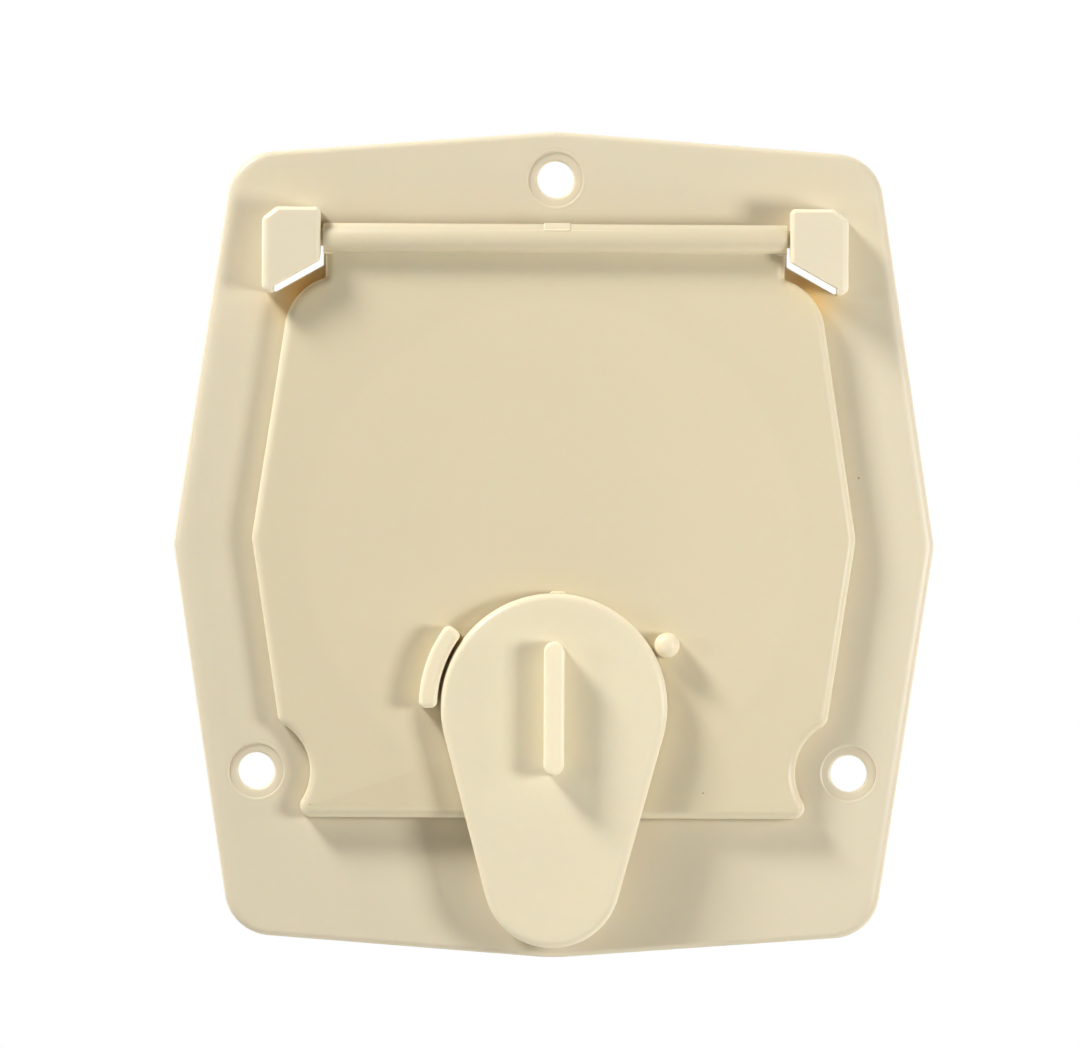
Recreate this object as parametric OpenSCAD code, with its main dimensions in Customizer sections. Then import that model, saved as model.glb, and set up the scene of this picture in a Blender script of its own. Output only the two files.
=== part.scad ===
// Power cord hatch for the side wall of a caravan: a screwed-on base frame, a door hinged along its top,
// and a teardrop cord cover that swivels on the door over a notch in the frame.
// The front looks along -Y, +Z is up. The origin is on the wall face, behind the middle of the hinge axis.

/* [Base flange] */
// Width of the flange across its waist, where the two halves of each side meet
flange_w = 133.1; // [126:0.1:150]
// Height of the flange between its upper and lower gable points
flange_h = 144.6; // [141:0.1:160]
// Angle by which each half side leans in from the waist, in degrees
side_lean = 8.6; // [5:0.1:10]
// Angle by which the top and bottom edges fall away from the gable points, in degrees
gable_slope = 4.25; // [2:0.05:6]
// Thickness of the flange
flange_t = 2.4; // [1.8:0.1:4]
// Radius of the four corners of the flange
flange_corner_r = 8.4; // [4:0.1:12]
// Radius at the waist and at the gable points
flange_point_r = 6; // [2:0.5:12]
// Radius of the rounded front edge of the flange
flange_edge_r = 1.2; // [0.5:0.1:1.6]
// Height of the hinge axis above the middle of the flange
hinge_above_middle = 53.5; // [51:0.1:55]

/* [Screw holes] */
// Diameter of the three screw holes
screw_d = 6.4; // [4:0.1:7]
// Diameter of the shallow seat round each screw hole
seat_d = 9.6; // [8:0.1:11]
// Depth of the seat
seat_depth = 0.3; // [0.2:0.1:1]
// Height of the top screw above the middle of the flange
top_screw_up = 63.9; // [62:0.1:66]
// Distance between the two lower screws
low_screw_spacing = 103.6; // [101:0.1:108]
// Distance of the lower screws below the middle of the flange
low_screw_down = 39.8; // [36:0.1:42]

/* [Door] */
// Width of the door across its waist
door_w = 105.6; // [101:0.1:109]
// Height of the waist of the door above the middle of the flange
door_waist_up = 1; // [-4:0.5:5]
// Distance of the door's lower edge below the middle of the flange
door_bottom_down = 47.8; // [46:0.1:49]
// Distance from the hinge axis down to the shoulders of the door
shoulder_drop = 6.7; // [6.2:0.1:9]
// Radius of the shoulders of the door
shoulder_r = 9.8; // [6:0.1:11]
// Width of the neck between the shoulders and the hinge barrel
neck_w = 80.2; // [76:0.1:81]
// Radius of the hollow where a shoulder runs into the neck
neck_fillet_r = 0.5; // [0.3:0.1:0.8]
// Radius of the upper corners of the neck, under the barrel
neck_corner_r = 1.7; // [1.7:0.1:2]
// Radius of the corners beside the lower screws
door_corner_r = 2; // [1.8:0.1:3]
// Distance from a lower screw's axis to the hollow edge of the door round it
screw_clear_r = 9.4; // [8:0.1:11]
// Height of the door's front face above the flange's front face
door_rise = 4.2; // [3.6:0.1:6]
// Thickness of the door's skin
door_skin_t = 2.2; // [1.6:0.1:2.6]
// Thickness of the rim turned back round the door
door_rim_t = 1.6; // [1.2:0.1:1.7]
// Radius of the rounded front edge of the door
door_edge_r = 1.5; // [0.5:0.1:1.6]
// Gap between the rim of the closed door and the flange
door_gap = 0.3; // [0.2:0.1:0.6]

/* [Hinge] */
// Diameter of the barrel along the top of the door
barrel_d = 5; // [4:0.1:6]
// Diameter of the pins at the ends of the barrel
pin_d = 3; // [2:0.1:3.4]
// Height of the hinge axis above the flange's front face
hinge_rise = 5.2; // [5:0.1:6]
// How far the barrel reaches past the neck at each end
barrel_over = 0.4; // [0.2:0.1:1]
// Distance from the end of the barrel to the ear
ear_gap = 0.8; // [0.5:0.1:1.5]
// Clearance between a pin and its bearing, on the radius
pin_clear = 0.1; // [0.05:0.01:0.1]

/* [Hinge ears] */
// Width of an ear
ear_w = 10.2; // [9:0.1:12]
// Height of an ear's outer edge, from its chamfer down to its foot
ear_side_h = 13; // [12:0.1:14]
// Distance from the hinge axis up to the top of an ear
ear_up = 5.3; // [4.5:0.1:6]
// Distance from the hinge axis down to the lower end of an ear's inner edge
ear_inner_down = 4; // [3.5:0.1:4.5]
// Angle at which the front of an ear falls from there towards its outer wall, in degrees
ear_slant = 29.5; // [26:0.5:32]
// Width of the chamfer on an ear's outer top corner
ear_chamfer_w = 2.5; // [1.5:0.1:4]
// Height of the chamfer on an ear's outer top corner
ear_chamfer_h = 2; // [1:0.1:3]
// Height of an ear's front face above the flange's front face
ear_rise = 9; // [8.8:0.1:11]
// Radius of the corners of an ear
ear_corner_r = 1.2; // [1.1:0.1:1.4]
// Radius of the rounded front edge of an ear
ear_edge_r = 1; // [0.4:0.1:1]
// Thickness of an ear's walls
ear_wall = 2; // [1.7:0.1:2.2]
// Gap between an ear's open edges and the edges of the slot behind it
slot_margin = 0.8; // [0.4:0.1:1.2]

/* [Opening and collar] */
// Overlap of the door's rim over the opening's edge
door_overlap = 5; // [4:0.1:7]
// Radius of the upper corners of the opening
opening_top_r = 6; // [3:0.5:10]
// Radius of the lower corners of the opening
opening_low_r = 8; // [6:0.5:12]
// Wall of the collar that passes through the vehicle's wall
collar_t = 2; // [1.5:0.1:2.4]
// Depth of the collar behind the flange
collar_depth = 12; // [8:0.5:30]

/* [Cord notch] */
// Width of the notch that the cord lies in
notch_w = 19; // [15:0.5:19.5]
// Radius where the notch runs into the opening
notch_mouth_r = 3.2; // [2.6:0.1:5]
// Wall of the lip that stands up round the notch under the cord cover
lip_t = 1.8; // [1.2:0.1:2]

/* [Cord cover] */
// Distance of the cover's pivot below the middle of the flange
pivot_down = 28.2; // [27:0.1:30]
// Diameter of the cover's round head
head_d = 40; // [36:0.1:41]
// Diameter of the cover's round tail
tail_d = 24; // [23:0.1:26]
// Distance from the pivot to the middle of the tail
tail_offset = 30.2; // [29.5:0.1:31]
// Height of the cover's front face above the door's front face
cover_rise = 5; // [4:0.1:6]
// Gap between the cover and the door
cover_gap = 0.4; // [0.3:0.1:0.6]
// Thickness of the cover's skin
cover_skin_t = 2; // [1.4:0.1:2.4]
// Thickness of the cover's rim
cover_rim_t = 2; // [1.4:0.1:3]
// Radius of the rounded front edge of the cover
cover_edge_r = 1.3; // [0.5:0.1:2]
// Diameter of the boss behind the cover, in the middle of its tail
tail_boss_d = 4.4; // [3:0.1:6]
// Length of the finger rib on the cover
finger_l = 23.6; // [18:0.1:28]
// Width of the finger rib
finger_w = 3.6; // [3:0.1:5]
// Height of the finger rib above the cover
finger_rise = 5.2; // [3:0.1:7]
// Radius of the rounded edge of the finger rib
finger_edge_r = 0.7; // [0.3:0.1:1.2]

/* [Stops] */
// Height of the stop rib and the stop post above the door
stop_rise = 5; // [3:0.1:6]
// Gap between the cover's head and the stops
stop_gap = 0.4; // [0.3:0.1:0.6]
// Radial thickness of the stop rib
stop_rib_t = 3.2; // [2.4:0.1:4]
// Lower end of the stop rib, in degrees below the level of the pivot
stop_rib_low = 1; // [0:0.5:4]
// Upper end of the stop rib, in degrees above the level of the pivot
stop_rib_high = 38; // [30:0.5:45]
// Radius of the corners of the stop rib
stop_corner_r = 0.8; // [0.7:0.1:1.1]
// Radius of the rounded edge of the stop rib
stop_edge_r = 0.6; // [0.2:0.1:0.6]
// Diameter of the stop post
post_d = 4.4; // [3.5:0.1:6]
// Radius of the rounded edge of the stop post
post_edge_r = 1.4; // [0.5:0.1:1.6]
// Direction of the stop post, in degrees above the level of the pivot
post_angle = 29; // [25:0.5:35]

/* [Pivot] */
// Diameter of the cover's stem
stem_d = 7; // [6:0.1:8]
// Clearance between the stem and its boss, on the radius
stem_clear = 0.1; // [0.05:0.01:0.1]
// Outer diameter of the boss behind the door
boss_d = 12; // [11:0.1:14]
// Length of the boss behind the door's skin
boss_l = 4; // [3:0.1:6]
// Play of the stem along its boss
stem_play = 0.3; // [0.2:0.1:0.5]
// Outer diameter of the washer
washer_d = 12; // [11:0.1:13]
// Thickness of the washer
washer_t = 1; // [0.6:0.1:1.6]
// Diameter of the retaining screw's head
screw_head_d = 6; // [5:0.1:7]
// Height of the retaining screw's head
screw_head_h = 2.2; // [1.6:0.1:3]
// Diameter of the retaining screw's shank
shank_d = 2.9; // [2.5:0.1:3.2]
// Length of the retaining screw's shank inside the stem
shank_l = 6; // [4:0.1:6.4]

/* [Catch tongues] */
// Width of each catch tongue
tongue_w = 12; // [8:0.5:14]
// Thickness of each catch tongue
tongue_t = 1.8; // [1.4:0.1:2.4]
// Distance between the middles of the tongues
tongue_spacing = 46; // [36:0.5:50]
// How far the tongues reach behind the wall face
tongue_reach = 3; // [1:0.1:5]
// Gap between a tongue and the opening's lower edge
tongue_gap = 0.9; // [0.9:0.1:1.2]
// Height of the catch bead near the end of a tongue
bead_h = 0.3; // [0.2:0.1:0.3]

/* [Hidden] */

plastic = [0.88, 0.82, 0.70];
steel = [0.72, 0.73, 0.75];
round_fn = 72;
arc_bow = 0.02;
edge_steps = 5;
edge_out = 0.2;
same_point = 0.001;
cut = 1;

// Heights in front of the wall face
flange_front = flange_t;
door_back = flange_front + door_gap;
door_front = flange_front + door_rise;
door_skin_back = door_front - door_skin_t;
hinge_h = flange_front + hinge_rise;
ear_front = flange_front + ear_rise;
cover_back = door_front + cover_gap;
cover_front = door_front + cover_rise;
cover_skin_back = cover_front - cover_skin_t;
boss_back = door_skin_back - boss_l;
stem_back = boss_back - stem_play;

// Places along the height, from the hinge axis
middle_z = -hinge_above_middle;
half_h = flange_h / 2;
waist_x = flange_w / 2;
corner_z = (half_h - waist_x * tan(gable_slope)) / (1 - tan(side_lean) * tan(gable_slope));
corner_x = waist_x - corner_z * tan(side_lean);
top_screw = [0, middle_z + top_screw_up];
low_screw = [low_screw_spacing / 2, middle_z - low_screw_down];
door_waist = [door_w / 2, middle_z + door_waist_up];
door_bottom = middle_z - door_bottom_down;
door_shoulder = -shoulder_drop;
neck_x = neck_w / 2;
neck_end = -barrel_d / 4;
pivot = [0, middle_z - pivot_down];
tail = pivot - [0, tail_offset];
opening_waist = door_waist - [door_overlap / cos(side_lean), 0];
opening_top = door_shoulder - door_overlap;
opening_bottom = door_bottom + door_overlap;
notch_r = notch_w / 2;
lip_top = door_bottom - stop_gap;
barrel_x = neck_x + barrel_over;
ear_x = barrel_x + ear_gap;
ear_out = ear_x + ear_w;
ear_wall_x = ear_out - ear_wall;
ear_low = ear_up - ear_chamfer_h - ear_side_h;
slant_low = -ear_inner_down - (ear_wall_x - ear_x) * tan(ear_slant);
slot_x = ear_x - slot_margin;
slot_low = -ear_inner_down - slot_margin;
pin_x = ear_x + ear_wall + ear_gap;
rib_r = head_d / 2 + stop_gap;
post_r = rib_r + post_d / 2;
post = pivot + post_r * [cos(post_angle), sin(post_angle)];
flank = asin((head_d - tail_d) / 2 / tail_offset);

// Point of the line through p that leans in by side_lean, at height z
function lean_x(p, z) = p.x - abs(z - p.y) * tan(side_lean);

// An outline is a list of arcs [middle, radius, first, last] that join without a kink. The two angles
// are those of the outward normal, and a hollow arc has a negative radius.
function corner(p, r, first, last) =
    let (half = (last - first) / 2, mid = (last + first) / 2)
    [p - r / cos(half) * [cos(mid), sin(mid)], r, first, last];

// Middle of a circle of radius r that lies inside the line (outward normal a, through p) and touches a
// circle of radius big_r round q from outside; side picks the upper (1) or lower (-1) of the two
function touching(p, a, q, big_r, r, side) =
    let (n = [cos(a), sin(a)], k = (p - q) * n - r, t = sqrt(pow(big_r + r, 2) - k * k))
    q + k * n + side * t * [-n.y, n.x];

function angle_to(p, q) = atan2(q.y - p.y, q.x - p.x);

function mirrored(arcs) =
    [for (i = [len(arcs) - 1:-1:0])
        let (arc = arcs[i])
        [[-arc[0].x, arc[0].y], arc[1], 180 - arc[3], 180 - arc[2]]];

// Point of an arc at t, from 0 at its start to 1 at its end, moved inwards by inset
function arc_point(arc, t, inset) =
    let (a = arc[2] + (arc[3] - arc[2]) * t)
    arc[0] + (arc[1] - inset) * [cos(a), sin(a)];

// Points of an outline, moved inwards by inset. An arc that starts where the one before it ends leaves its
// first point out, and no chord lies further than arc_bow from its arc.
function outline(arcs, inset = 0) =
    [for (k = [0:len(arcs) - 1])
        let (arc = arcs[k], before = arcs[(k + len(arcs) - 1) % len(arcs)])
        let (n = max(2, ceil(abs(arc[3] - arc[2]) / (2 * acos(1 - arc_bow / abs(arc[1]))))))
        let (joined = norm(arc_point(arc, 0, 0) - arc_point(before, 1, 0)) < same_point)
        for (i = [joined ? 1 : 0:n]) arc_point(arc, i / n, inset)];

// Outline with a corner of radius r at each of the points, which run anticlockwise round a convex form
function rounded(points, r) =
    [for (k = [0:len(points) - 1])
        let (p = points[k], n = len(points))
        let (first = angle_to(points[(k + n - 1) % n], p) - 90)
        let (last = angle_to(p, points[(k + 1) % n]) - 90)
        corner(p, r, first, last < first ? last + 360 : last)];

// Outline of a stretch of a ring round p, from angle low to angle high, with corners of radius r
function ring_stretch(p, inner, outer, low, high, r) =
    let (a = asin(r / (outer - r)), b = asin(r / (inner + r)))
    let (out_low = p + (outer - r) * [cos(low + a), sin(low + a)])
    let (out_high = p + (outer - r) * [cos(high - a), sin(high - a)])
    let (in_low = p + (inner + r) * [cos(low + b), sin(low + b)])
    let (in_high = p + (inner + r) * [cos(high - b), sin(high - b)])
    [[p, outer, low + a, high - a],
     [out_high, r, high - a, high + 90],
     [in_high, r, high + 90, high + 180 - b],
     [p, -inner, high + 180 - b, low + 180 + b],
     [in_low, r, low + 180 + b, low + 270],
     [out_low, r, low + 270, low + 360 + a]];

flange_right = [
    corner([waist_x, middle_z], flange_point_r, -side_lean, side_lean),
    corner([corner_x, middle_z + corner_z], flange_corner_r, side_lean, 90 - gable_slope),
    corner([0, middle_z + half_h], flange_point_r, 90 - gable_slope, 90 + gable_slope)
];
flange_low = [
    corner([0, middle_z - half_h], flange_point_r, -90 - gable_slope, -90 + gable_slope),
    corner([corner_x, middle_z - corner_z], flange_corner_r, -90 + gable_slope, -side_lean)
];
flange_arcs = concat(
    flange_low, flange_right, mirrored([flange_right[0], flange_right[1]]), mirrored([flange_low[1]])
);

door_low_c = touching([0, door_bottom], -90, low_screw, screw_clear_r, door_corner_r, -1);
door_side_c = touching(door_waist, -side_lean, low_screw, screw_clear_r, door_corner_r, 1);
door_low_a = angle_to(door_low_c, low_screw);
door_side_a = angle_to(door_side_c, low_screw);
door_right = [
    [door_low_c, door_corner_r, -90, door_low_a],
    [low_screw, -screw_clear_r, door_low_a, door_side_a],
    [door_side_c, door_corner_r, door_side_a, -side_lean],
    corner(door_waist, flange_point_r, -side_lean, side_lean)
];
shoulder = corner([lean_x(door_waist, door_shoulder), door_shoulder], shoulder_r, side_lean, 90);
neck_c = touching([neck_x, 0], 180, shoulder[0], shoulder_r, neck_fillet_r, -1);
neck_a = angle_to(shoulder[0], neck_c);
neck_right = [
    [shoulder[0], shoulder_r, side_lean, neck_a],
    [neck_c, -neck_fillet_r, neck_a, 0],
    corner([neck_x, neck_end], neck_corner_r, 0, 90)
];
rim_right = concat(door_right, [shoulder]);
rim_arcs = concat(rim_right, mirrored(rim_right));
panel_right = concat(door_right, neck_right);
door_arcs = concat(panel_right, mirrored(panel_right));

opening_right = [
    corner([notch_r, opening_bottom], -notch_mouth_r, 0, -90),
    corner([lean_x(opening_waist, opening_bottom), opening_bottom], opening_low_r, -90, -side_lean),
    corner(opening_waist, flange_point_r, -side_lean, side_lean),
    corner([lean_x(opening_waist, opening_top), opening_top], opening_top_r, side_lean, 90)
];
opening_arcs = concat([[tail, notch_r, -180, 0]], opening_right, mirrored(opening_right));

cover_arcs = [
    [pivot, head_d / 2, -flank, 180 + flank],
    [tail, tail_d / 2, 180 + flank, 360 - flank]
];

finger_arcs = [
    [pivot + [0, (finger_l - finger_w) / 2], finger_w / 2, 0, 180],
    [pivot - [0, (finger_l - finger_w) / 2], finger_w / 2, 180, 360]
];

ear_arcs = rounded([
    [ear_x, slot_low],
    [ear_wall_x, ear_low],
    [ear_out, ear_low],
    [ear_out, ear_up - ear_chamfer_h],
    [ear_out - ear_chamfer_w, ear_up],
    [ear_x, ear_up]
], ear_corner_r);

stop_rib_arcs = ring_stretch(
    pivot, rib_r, rib_r + stop_rib_t, 180 - stop_rib_high, 180 + stop_rib_low, stop_corner_r
);

// A flat piece drawn from the front, between two heights in front of the wall face
module slab(back, front)
    translate([0, -back, 0]) rotate([90, 0, 0]) linear_extrude(front - back) children();

// What a slab loses where its front edge is rounded: a ring that follows the outline, whose section is the
// corner outside a quarter circle
module edge_ring(arcs, front, edge_r) {
    section = concat(
        [[-edge_out, front - edge_r], [-edge_out, front + edge_out], [edge_r, front + edge_out]],
        [for (t = [90:-90 / edge_steps:0]) [edge_r * (1 - cos(t)), front - edge_r * (1 - sin(t))]]
    );
    around = len(outline(arcs));
    polyhedron(
        points = [for (s = section) for (p = outline(arcs, s[0])) [p.x, -s[1], p.y]],
        faces = [for (k = [0:len(section) - 1]) for (i = [0:around - 1])
            let (j = (i + 1) % around, m = (k + 1) % len(section))
            [k * around + i, m * around + i, m * around + j, k * around + j]]
    );
}

module rounded_slab(arcs, back, front, edge_r)
    difference() {
        slab(back, front) polygon(outline(arcs));
        edge_ring(arcs, front, edge_r);
    }

module disc(at, d)
    translate(at) circle(d = d, $fn = round_fn);

module band(arcs, outer, inner)
    difference() {
        polygon(outline(arcs, outer));
        polygon(outline(arcs, inner));
    }

module base_flange()
    color(plastic) difference() {
        rounded_slab(flange_arcs, 0, flange_front, flange_edge_r);
        slab(-cut, flange_front + cut) polygon(outline(opening_arcs, -collar_t));
        for (at = [top_screw, low_screw, [-low_screw.x, low_screw.y]]) {
            slab(-cut, flange_front + cut) disc(at, screw_d);
            slab(flange_front - seat_depth, flange_front + cut) disc(at, seat_d);
        }
        for (side = [0, 1])
            mirror([side, 0, 0]) slab(-cut, flange_front + cut)
                polygon([[slot_x, 0], [slot_x, slot_low], [ear_wall_x, ear_low], [ear_wall_x, 0]]);
    }

module rear_collar()
    color(plastic) slab(-collar_depth, flange_front) band(opening_arcs, -collar_t, 0);

module cord_notch_lip()
    color(plastic) slab(flange_front, door_front) polygon(concat(
        [[-notch_r - lip_t, lip_top]],
        outline([[tail, notch_r + lip_t, -180, 0]]),
        [[notch_r + lip_t, lip_top], [notch_r, lip_top]],
        outline([[tail, notch_r, 0, -180]]),
        [[-notch_r, lip_top]]
    ));

// The ear at the right: a hood open at its inner and lower sides, with a cheek that holds the pin. Its front
// ends at a slant over the slot in the flange.
module hinge_ear()
    color(plastic) difference() {
        rounded_slab(ear_arcs, flange_front, ear_front, ear_edge_r);
        slab(flange_front - cut, ear_front - ear_wall) difference() {
            polygon([
                [ear_x - cut, ear_up - ear_wall],
                [ear_x - cut, ear_low - cut],
                [ear_wall_x, ear_low - cut],
                [ear_wall_x, ear_up - ear_chamfer_h - ear_wall / 2],
                [ear_out - ear_chamfer_w - ear_wall / 2, ear_up - ear_wall]
            ]);
            translate([ear_x, -pin_d]) square([ear_wall, pin_d + ear_up]);
        }
        slab(flange_front - cut, ear_front + cut) polygon([
            [ear_x - cut, cut * tan(ear_slant) - ear_inner_down],
            [ear_x - cut, ear_low - cut],
            [ear_wall_x, ear_low - cut],
            [ear_wall_x, slant_low]
        ]);
        slab(flange_front - cut, hinge_h - pin_d)
            translate([slot_x, -pin_d]) square([ear_wall_x - slot_x, pin_d + slot_margin]);
        translate([0, -hinge_h, 0]) rotate([0, 90, 0])
            cylinder(d = pin_d + 2 * pin_clear, h = ear_x + 2 * ear_wall, $fn = round_fn);
    }

module right_hinge_ear()
    hinge_ear();

module left_hinge_ear()
    mirror([1, 0, 0]) hinge_ear();

// The door before it is hollowed: its panel and the neck that runs up into the barrel
module door_block()
    rounded_slab(door_arcs, door_back, door_front, door_edge_r);

module door_panel()
    color(plastic) difference() {
        door_block();
        slab(door_back - cut, door_skin_back) {
            polygon(outline(rim_arcs, door_rim_t));
            translate([-neck_x - cut, door_shoulder]) square([neck_w + 2 * cut, cut - door_shoulder]);
        }
        slab(door_back - cut, door_front + cut) disc(pivot, stem_d + 2 * stem_clear);
    }

module hinge_barrel()
    color(plastic) difference() {
        translate([-barrel_x, -hinge_h, 0]) rotate([0, 90, 0])
            cylinder(d = barrel_d, h = 2 * barrel_x, $fn = round_fn);
        door_block();
    }

module hinge_pin()
    color(plastic) translate([barrel_x, -hinge_h, 0]) rotate([0, 90, 0])
        cylinder(d = pin_d, h = pin_x - barrel_x, $fn = round_fn);

module right_hinge_pin()
    hinge_pin();

module left_hinge_pin()
    mirror([1, 0, 0]) hinge_pin();

module stop_rib()
    color(plastic) rounded_slab(stop_rib_arcs, door_front, door_front + stop_rise, stop_edge_r);

module stop_post()
    color(plastic) translate([post.x, -door_front, post.y]) rotate([90, 0, 0])
        rotate_extrude($fn = round_fn) intersection() {
            square([post_d / 2, stop_rise]);
            union() {
                square([post_d / 2, stop_rise - post_edge_r]);
                square([post_d / 2 - post_edge_r, stop_rise]);
                translate([post_d / 2 - post_edge_r, stop_rise - post_edge_r])
                    circle(r = post_edge_r, $fn = round_fn);
            }
        }

module pivot_boss()
    color(plastic) slab(boss_back, door_skin_back) difference() {
        disc(pivot, boss_d);
        disc(pivot, stem_d + 2 * stem_clear);
    }

// The tongue at the right, drawn from the side, with a bead under its tip
module catch_tongue()
    color(plastic) translate([(tongue_spacing - tongue_w) / 2, 0, opening_bottom + tongue_gap])
        rotate([90, 0, 90]) linear_extrude(tongue_w) polygon([
            [-door_skin_back, 0],
            [tongue_reach - 4 * bead_h, 0],
            [tongue_reach - 3 * bead_h, -bead_h],
            [tongue_reach - 2 * bead_h, -bead_h],
            [tongue_reach, bead_h],
            [tongue_reach, tongue_t - bead_h],
            [tongue_reach - bead_h, tongue_t],
            [-door_skin_back, tongue_t]
        ]);

module right_catch_tongue()
    catch_tongue();

module left_catch_tongue()
    mirror([1, 0, 0]) catch_tongue();

module cord_cover()
    color(plastic) difference() {
        rounded_slab(cover_arcs, cover_back, cover_front, cover_edge_r);
        slab(cover_back - cut, cover_skin_back) difference() {
            polygon(outline(cover_arcs, cover_rim_t));
            disc(tail, tail_boss_d);
        }
    }

module finger_rib()
    color(plastic) rounded_slab(finger_arcs, cover_front, cover_front + finger_rise, finger_edge_r);

module pivot_stem()
    color(plastic) difference() {
        slab(stem_back, cover_skin_back) disc(pivot, stem_d);
        slab(stem_back - cut, stem_back + shank_l + stem_play) disc(pivot, shank_d + 2 * stem_clear);
    }

module pivot_washer()
    color(steel) slab(stem_back - washer_t, stem_back) difference() {
        disc(pivot, washer_d);
        disc(pivot, shank_d + 2 * stem_clear);
    }

module pivot_screw()
    color(steel) union() {
        slab(stem_back - washer_t - screw_head_h, stem_back - washer_t) disc(pivot, screw_head_d);
        slab(stem_back - washer_t, stem_back + shank_l) disc(pivot, shank_d);
    }

base_flange();
rear_collar();
cord_notch_lip();
left_hinge_ear();
right_hinge_ear();
door_panel();
hinge_barrel();
left_hinge_pin();
right_hinge_pin();
stop_rib();
stop_post();
pivot_boss();
left_catch_tongue();
right_catch_tongue();
cord_cover();
finger_rib();
pivot_stem();
pivot_washer();
pivot_screw();
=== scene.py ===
"""Looks of a power cord hatch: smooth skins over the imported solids, their finishes, the light and the camera.

Sizes are in millimetres. Forms are drawn from the front, as x and z with a height in front of the wall face,
and only the finished meshes are turned into metres. The front looks along -Y and +Z is up.
"""

from __future__ import annotations

import logging
import math
from collections.abc import Sequence
from dataclasses import dataclass
from enum import Enum
from functools import cache, cached_property

import bmesh
import bpy
import numpy as np
from mathutils import Matrix, Vector
from mathutils.geometry import delaunay_2d_cdt

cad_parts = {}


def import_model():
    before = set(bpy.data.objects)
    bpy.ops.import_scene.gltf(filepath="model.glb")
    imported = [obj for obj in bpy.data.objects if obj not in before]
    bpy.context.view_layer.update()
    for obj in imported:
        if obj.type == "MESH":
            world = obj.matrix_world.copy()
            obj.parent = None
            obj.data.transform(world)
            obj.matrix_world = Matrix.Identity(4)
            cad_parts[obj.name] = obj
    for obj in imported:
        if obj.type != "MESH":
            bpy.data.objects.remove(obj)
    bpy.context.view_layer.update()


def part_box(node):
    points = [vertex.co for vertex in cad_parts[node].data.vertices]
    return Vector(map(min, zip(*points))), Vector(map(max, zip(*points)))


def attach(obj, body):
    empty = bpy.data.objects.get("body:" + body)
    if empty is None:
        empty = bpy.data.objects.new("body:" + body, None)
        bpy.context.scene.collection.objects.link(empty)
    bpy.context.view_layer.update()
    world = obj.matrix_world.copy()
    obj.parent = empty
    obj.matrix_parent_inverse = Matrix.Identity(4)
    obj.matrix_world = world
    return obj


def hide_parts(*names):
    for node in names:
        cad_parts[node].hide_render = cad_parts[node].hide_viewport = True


LOG = logging.getLogger("cord_hatch")
# A millimetre in metres.
MM = 0.001
# Points closer together than this are one.
SAME_POINT = 1e-4
# Widest way between the points of an outline, of one with small corners, of a bearing and of a turned form.
PITCH = 0.35
SMALL_PITCH = 0.175
FINE_PITCH = 0.2
TURNED_PITCH = 0.3
# Least number of strips round an arc, and the widest angle of one in degrees.
ARC_STEPS = 4
STEP_ANGLE = 12
# Least cosine of half a corner's turn that counts when its radius is used up.
LEAST_COSINE = 0.1
# Number of strips in a rounded edge.
EDGE_STEPS = 8
# Where the middle of a soft edge made of two chamfers lies, in shares of the edge's width.
EDGE_MIDDLE = 0.3
# Flat margin inside a rounded edge, and on a narrow form.
MARGIN = 0.25
NARROW = 0.1
# Flat strip beside a cap, so that the shading of its corners doesn't spread over it.
FLAT = 0.6
# How far a piece reaches into the one that it stands on.
SUNK = 0.3
# How far a form that is joined to a piece or cuts it reaches past its edges.
BEYOND = 1.0
# Colours of an effect's inputs until they are fed, and of the surround.
GREY = (0.8, 0.8, 0.8, 1.0)
WHITE = (1.0, 1.0, 1.0, 1.0)


class View(Enum):
    """Side that a form is drawn from, as the rows that turn (across, up, height) into x, y and z."""

    FRONT = ((1, 0, 0), (0, 0, -1), (0, 1, 0))
    RIGHT = ((0, 0, 1), (1, 0, 0), (0, 1, 0))


class Side(Enum):
    """Side of the hatch, as the sign of x."""

    LEFT = -1
    RIGHT = 1


class Body(Enum):
    """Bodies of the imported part."""

    BASE = "base"
    DOOR = "door"
    COVER = "cover"


class Slot(Enum):
    """Names of the material slots."""

    PLASTIC = "cream_plastic"
    STEEL = "plated_steel"


class Operation(Enum):
    """Ways to combine pieces."""

    UNION = "UNION"
    DIFFERENCE = "DIFFERENCE"


def unit(degrees: np.ndarray | float) -> np.ndarray:
    """Returns the unit vectors (across, up) at these angles."""
    angle = np.radians(degrees)
    return np.stack([np.cos(angle), np.sin(angle)], axis=-1)


def angle_to(start: np.ndarray, end: np.ndarray) -> float:
    """Returns the direction from start to end, in degrees."""
    across, up = np.subtract(end, start)
    return math.degrees(math.atan2(up, across))


@dataclass(frozen=True)
class Arc:
    """A round stretch of an outline. The angles are those of the outward normal, in degrees, and a hollow
    stretch has a negative radius."""

    middle: tuple[float, float]
    radius: float
    first: float
    last: float

    def mirrored(self) -> Arc:
        """Returns the arc on the other side of the hatch's middle."""
        return Arc((-self.middle[0], self.middle[1]), self.radius, 180 - self.last, 180 - self.first)


def corner(at: Sequence[float], radius: float, first: float, last: float) -> Arc:
    """Rounds the corner between two straight sides. The arc's middle lies inside the corner, at the radius
    over the cosine of half the turn.

    Args:
        at: where the sides meet.
        radius: the arc's radius, negative in a hollow corner.
        first: angle of the first side's outward normal.
        last: angle of the second side's outward normal.

    Returns:
        The arc.
    """
    half = math.radians(last - first) / 2
    middle = np.asarray(at) - radius / math.cos(half) * unit((first + last) / 2)
    return Arc(tuple(middle), radius, first, last)


def mirrored(arcs: Sequence[Arc]) -> list[Arc]:
    """Returns the arcs of the other half of a symmetric outline, in running order."""
    return [arc.mirrored() for arc in reversed(arcs)]


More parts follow.
